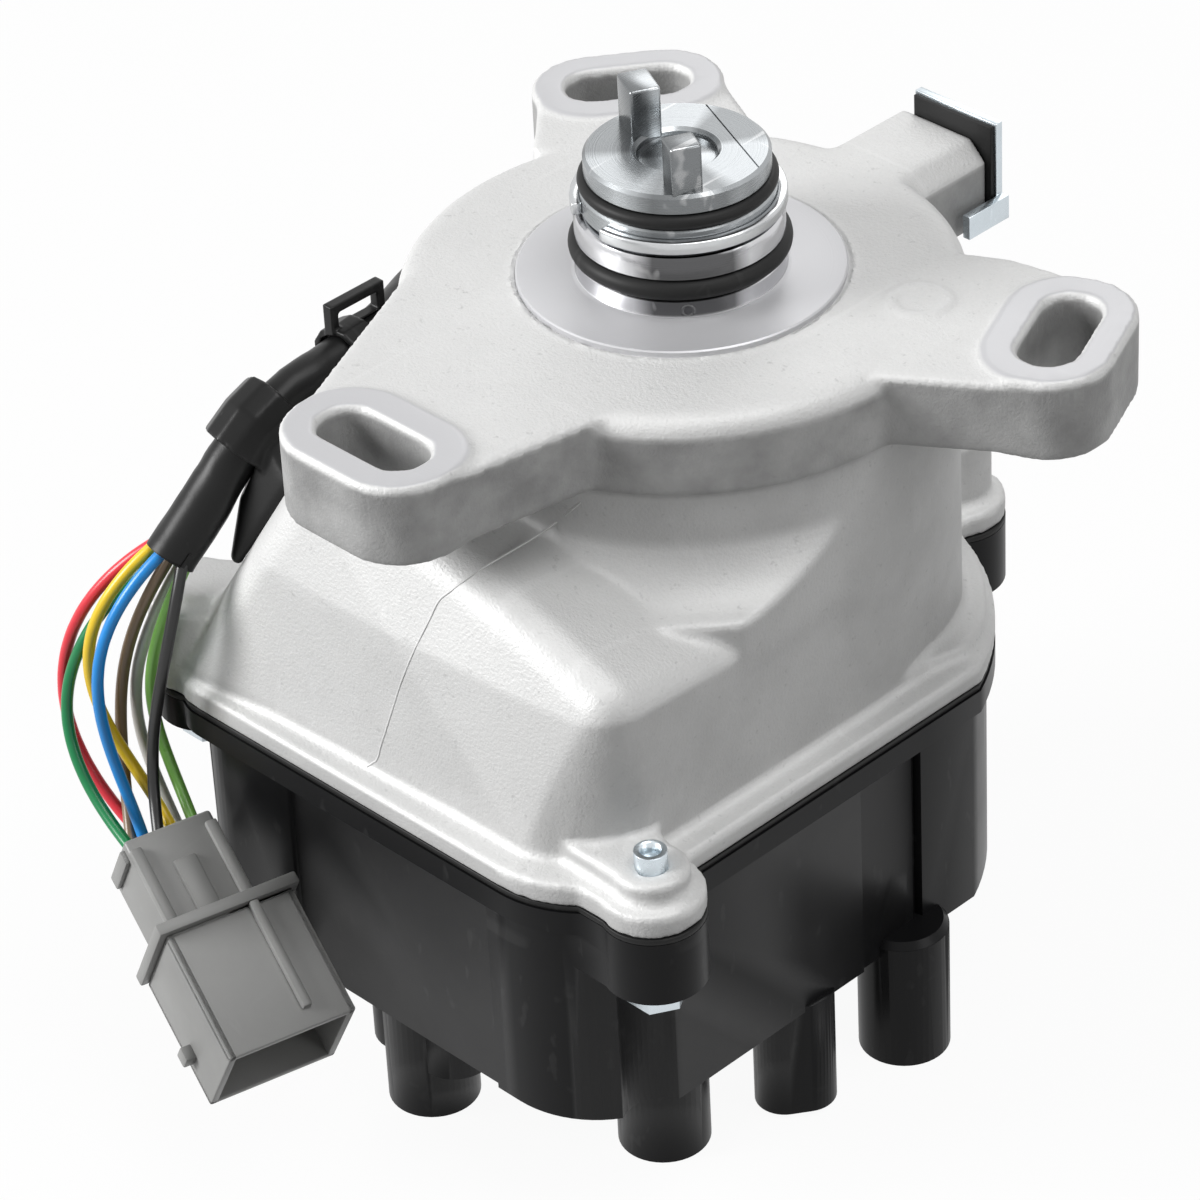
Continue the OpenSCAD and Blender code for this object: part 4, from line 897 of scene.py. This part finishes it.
class DISTRIBUTOR_OT_cap(bpy.types.Operator):
    """Build the moulded cap with its recessed panels and the closed top of its third tower"""

    bl_idname = "distributor.cap"
    bl_label = "Cap"

    def execute(self, context):
        bm = cad_copy("cap")
        dissolve_flat(bm)
        for x in (*PANEL_X, PANEL_X[0] + 0.3, PANEL_X[1] - 0.3):
            cut(bm, (x, 0, 0), (1, 0, 0), lambda c: c.y < -60)
        for y in (*STRIP_Y, STRIP_Y[0] + 0.3, STRIP_Y[1] + 0.3, STRIP_Y[1] + 1.2, STRIP_Y[1] + 1.5):
            cut(bm, (0, y, 0), (0, 1, 0), lambda c: c.x > 38)
        for z in (PANEL_TOP, PANEL_TOP - 0.4):
            cut(bm, (0, 0, z), (0, 0, 1), lambda c: c.y < -60 or c.x > 38)
        for vert in bm.verts:
            x, y, z = vert.co
            if CAP_Z - 0.5 < z < PANEL_TOP - 0.3:
                if PANEL_X[0] + 0.2 < x < PANEL_X[1] - 0.2 and abs(y - CAP_Y) < 0.3:
                    vert.co.y += 0.7
                if STRIP_Y[0] + 0.2 < y < STRIP_Y[1] + 0.1 and abs(x - CAP_X) < 0.3:
                    vert.co.x -= 0.6
                if STRIP_Y[1] + 0.2 < y < STRIP_Y[1] + 1.3 and abs(x - CAP_X) < 0.3:
                    vert.co.x -= 1.4
        bevel_sharp(bm, 0.4, 3)
        cone(bm, TOWER_R, TOWER_R - 0.9, CAP_Z + 1.9, CAP_Z + 3.2, TOWER_AT)
        finish_piece("cap_shell", bm, "body", "cap_plastic", ["cap"])
        return {"FINISHED"}


def cut(bm, place, normal, inside):
    """Cuts the faces whose centre passes a test along a plane."""
    faces = [f for f in bm.faces if inside(f.calc_center_median())]
    geom = list({v for f in faces for v in f.verts}) + list({e for f in faces for e in f.edges}) + faces
    bmesh.ops.bisect_plane(bm, geom=geom, dist=0.001, plane_co=place, plane_no=normal)


def dissolve_flat(bm):
    """Joins the triangles of each flat face."""
    bmesh.ops.dissolve_limit(bm, angle_limit=math.radians(0.6), use_dissolve_boundaries=False,
                             verts=bm.verts, edges=bm.edges)


class DISTRIBUTOR_OT_coupling(bpy.types.Operator):
    """Build the drive coupling with its two tangs, pin and spring ring"""

    bl_idname = "distributor.coupling"
    bl_label = "Drive coupling"

    def execute(self, context):
        self.body()
        crisp("drive_clip", "coupling_clip", 0.25, "rotor", "spring_steel")
        crisp("drive_pin", "coupling_pin", 0.3, "rotor", "dark_steel")
        return {"FINISHED"}

    def body(self):
        """Turned coupling: skirt, ring groove, disc with a groove along a chord, and the tangs."""
        top = COUPLING_TOP
        skirt, groove, disc = 14.7, 12.8, 14.0
        bm = bmesh.new()
        lathe(bm, [(6.03, COUPLING_Z), (skirt - 0.3, COUPLING_Z), (skirt, COUPLING_Z + 0.3), (skirt, 13.9),
                   (skirt - 0.3, 14.2), (groove, 14.2), (groove, 16.4), (disc - 0.3, 16.4), (disc, 16.7),
                   (disc, top - 0.5), (disc - 0.5, top), (6.6, top), (6.03, top - 0.5)], 160)
        chord = Vector((math.sin(math.radians(23.8)), math.cos(math.radians(23.8)), 0))
        for far in (8.68, 8.92):
            cut(bm, chord * far + Vector((0, 0, top)), chord, lambda c: c.z > top - 0.1)
        strip = [f for f in bm.faces if f.calc_center_median().z > top - 0.1
                 and abs(f.calc_center_median().dot(chord) - 8.8) < 0.1]
        push(bm, strip, (0, 0, -0.35))
        bmesh.ops.delete(bm, geom=strip, context="FACES_ONLY")
        turn = Matrix.Rotation(math.radians(-26.6), 4, "Z")
        for low, high in ((-12.0, -5.5), (8.5, 12.9)):
            box(bm, (low, -5.1, top - 1), (high, -0.3, top + 7.6), 0.45, 3, turn)
        finish_piece("drive_body", bm, "rotor", "machined_steel", ["drive_coupling"], angle=32)


class DISTRIBUTOR_OT_fasteners(bpy.types.Operator):
    """Build the end block's cover, screws, seals, shaft, igniter and brush spring"""

    bl_idname = "distributor.fasteners"
    bl_label = "Cover and screws"

    def execute(self, context):
        edge = context.scene.distributor_sizes.edge / MM
        crisp("end_cover", "end_plate", edge, "body", "zinc_plate")
        crisp("end_cover_screws", "end_plate_screws", edge, "body", "zinc_plate")
        crisp("end_seal", "end_plate_gasket", edge * 0.6, "body", "seal_rubber")
        self.bolts(edge * 1.3)
        crisp("seam_seal", "cap_gasket", edge * 0.6, "body", "seal_rubber")
        crisp("grommet", "harness_grommet", edge, "body", "seal_rubber")
        crisp("shaft", "rotor_shaft", edge, "rotor", "machined_steel")
        self.igniter()
        self.spring()
        return {"FINISHED"}

    def spring(self):
        """Brush spring, as imported, on a mesh of its own."""
        piece = finish_piece("contact_spring", cad_copy("brush_spring"), "body", "spring_steel",
                             ["brush_spring"], angle=60)
        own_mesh(piece)

    def bolts(self, edge):
        """Cap screws, each drilled at the end that stands out above its lug."""
        bm = cad_copy("cap_screws")
        dissolve_flat(bm)
        bevel_sharp(bm, edge)
        top = max(v.co.z for v in bm.verts)
        ends = [f for f in bm.faces if f.normal.z > 0.99 and f.calc_center_median().z > top - 0.01]
        if not ends:
            raise RuntimeError("no end face was found on the cap screws")
        bmesh.ops.inset_individual(bm, faces=ends, thickness=0.75, use_even_offset=True)
        bmesh.ops.inset_individual(bm, faces=ends, thickness=0.05, depth=-1.8, use_even_offset=True)
        finish_piece("cap_bolts", bm, "body", "zinc_plate", ["cap_screws"], angle=40)

    def igniter(self):
        """Igniter block with its outer corner cut off, clear of the casting's wall."""
        corner, trim, slope = 5, 1.6, math.sqrt(0.5)
        bm = cad_copy("igniter_module")
        dissolve_flat(bm)
        edge = max(v.co.x for v in bm.verts)
        front = min(v.co.y for v in bm.verts)
        cut(bm, (edge - corner, front, 0), (slope, -slope, 0), lambda c: True)
        for vert in bm.verts:
            past = (vert.co.x - edge + corner - vert.co.y + front) * slope
            if past > 0:
                vert.co -= Vector((past, -past, 0)) * slope
            vert.co.x = min(vert.co.x, edge - trim)
        finish_piece("igniter_block", bm, "body", "inner_plastic", ["igniter_module"], angle=40)


def crisp(name, node, width, body, material):
    """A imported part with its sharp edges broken, in place of its node."""
    bm = cad_copy(node)
    dissolve_flat(bm)
    bevel_sharp(bm, width)
    finish_piece(name, bm, body, material, [node], angle=40)


class DISTRIBUTOR_OT_neck_seal(bpy.types.Operator):
    """Build the rubber rings of the neck and the coupling"""

    bl_idname = "distributor.neck_seal"
    bl_label = "Rubber rings"

    def execute(self, context):
        for name, node, body in (("neck_ring", "neck_o_ring", "body"),
                                 ("drive_ring", "coupling_ring", "rotor")):
            low, high = (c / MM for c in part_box(node))
            thick = high.z - low.z
            bm = bmesh.new()
            torus(bm, high.x - thick / 2, thick, (high.z + low.z) / 2)
            finish_piece(name, bm, body, "seal_rubber", [node], angle=60)
        return {"FINISHED"}


class DISTRIBUTOR_OT_inner(bpy.types.Operator):
    """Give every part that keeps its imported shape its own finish"""

    bl_idname = "distributor.inner"
    bl_label = "Finishes of the packed parts"

    def execute(self, context):
        for row in FRAME["record"]["subparts"]:
            node = NODES[row["node"]]
            node.data.materials.clear()
            node.data.materials.append(MATERIALS[row["material_slot"]])
        return {"FINISHED"}


class DISTRIBUTOR_PT_panel(bpy.types.Panel):
    """Panel that lists the distributor's pieces"""

    bl_idname = "DISTRIBUTOR_PT_panel"
    bl_label = "Ignition distributor"
    bl_space_type = "VIEW_3D"
    bl_region_type = "UI"
    bl_category = "Distributor"

    def draw(self, context):
        for holder in (context.scene.distributor_colours, context.scene.distributor_sizes):
            for key in holder.__annotations__:
                self.layout.prop(holder, key)
        for kind in PIECES:
            self.layout.operator(kind.bl_idname)


PIECES = [DISTRIBUTOR_OT_stage, DISTRIBUTOR_OT_connector, DISTRIBUTOR_OT_wires, DISTRIBUTOR_OT_sleeve,
          DISTRIBUTOR_OT_inner, DISTRIBUTOR_OT_casting, DISTRIBUTOR_OT_neck, DISTRIBUTOR_OT_neck_seal,
          DISTRIBUTOR_OT_cap, DISTRIBUTOR_OT_coupling, DISTRIBUTOR_OT_fasteners]
CLASSES = [DistributorColours, DistributorSizes, *PIECES, DISTRIBUTOR_PT_panel]
MATERIALS = {}


def register():
    for kind in CLASSES:
        bpy.utils.register_class(kind)
    bpy.types.Scene.distributor_colours = PointerProperty(type=DistributorColours)
    bpy.types.Scene.distributor_sizes = PointerProperty(type=DistributorSizes)


def unregister():
    del bpy.types.Scene.distributor_sizes
    del bpy.types.Scene.distributor_colours
    for kind in reversed(CLASSES):
        bpy.utils.unregister_class(kind)


def main():
    """Builds every piece in order."""
    register()
    scene = bpy.context.scene
    MATERIALS.update(make_materials(scene.distributor_colours, scene.distributor_sizes))
    for kind in PIECES:
        space, name = kind.bl_idname.split(".")
        if getattr(getattr(bpy.ops, space), name)() != {"FINISHED"}:
            raise RuntimeError(kind.bl_label + " was not made")


if __name__ == "__main__":
    main()
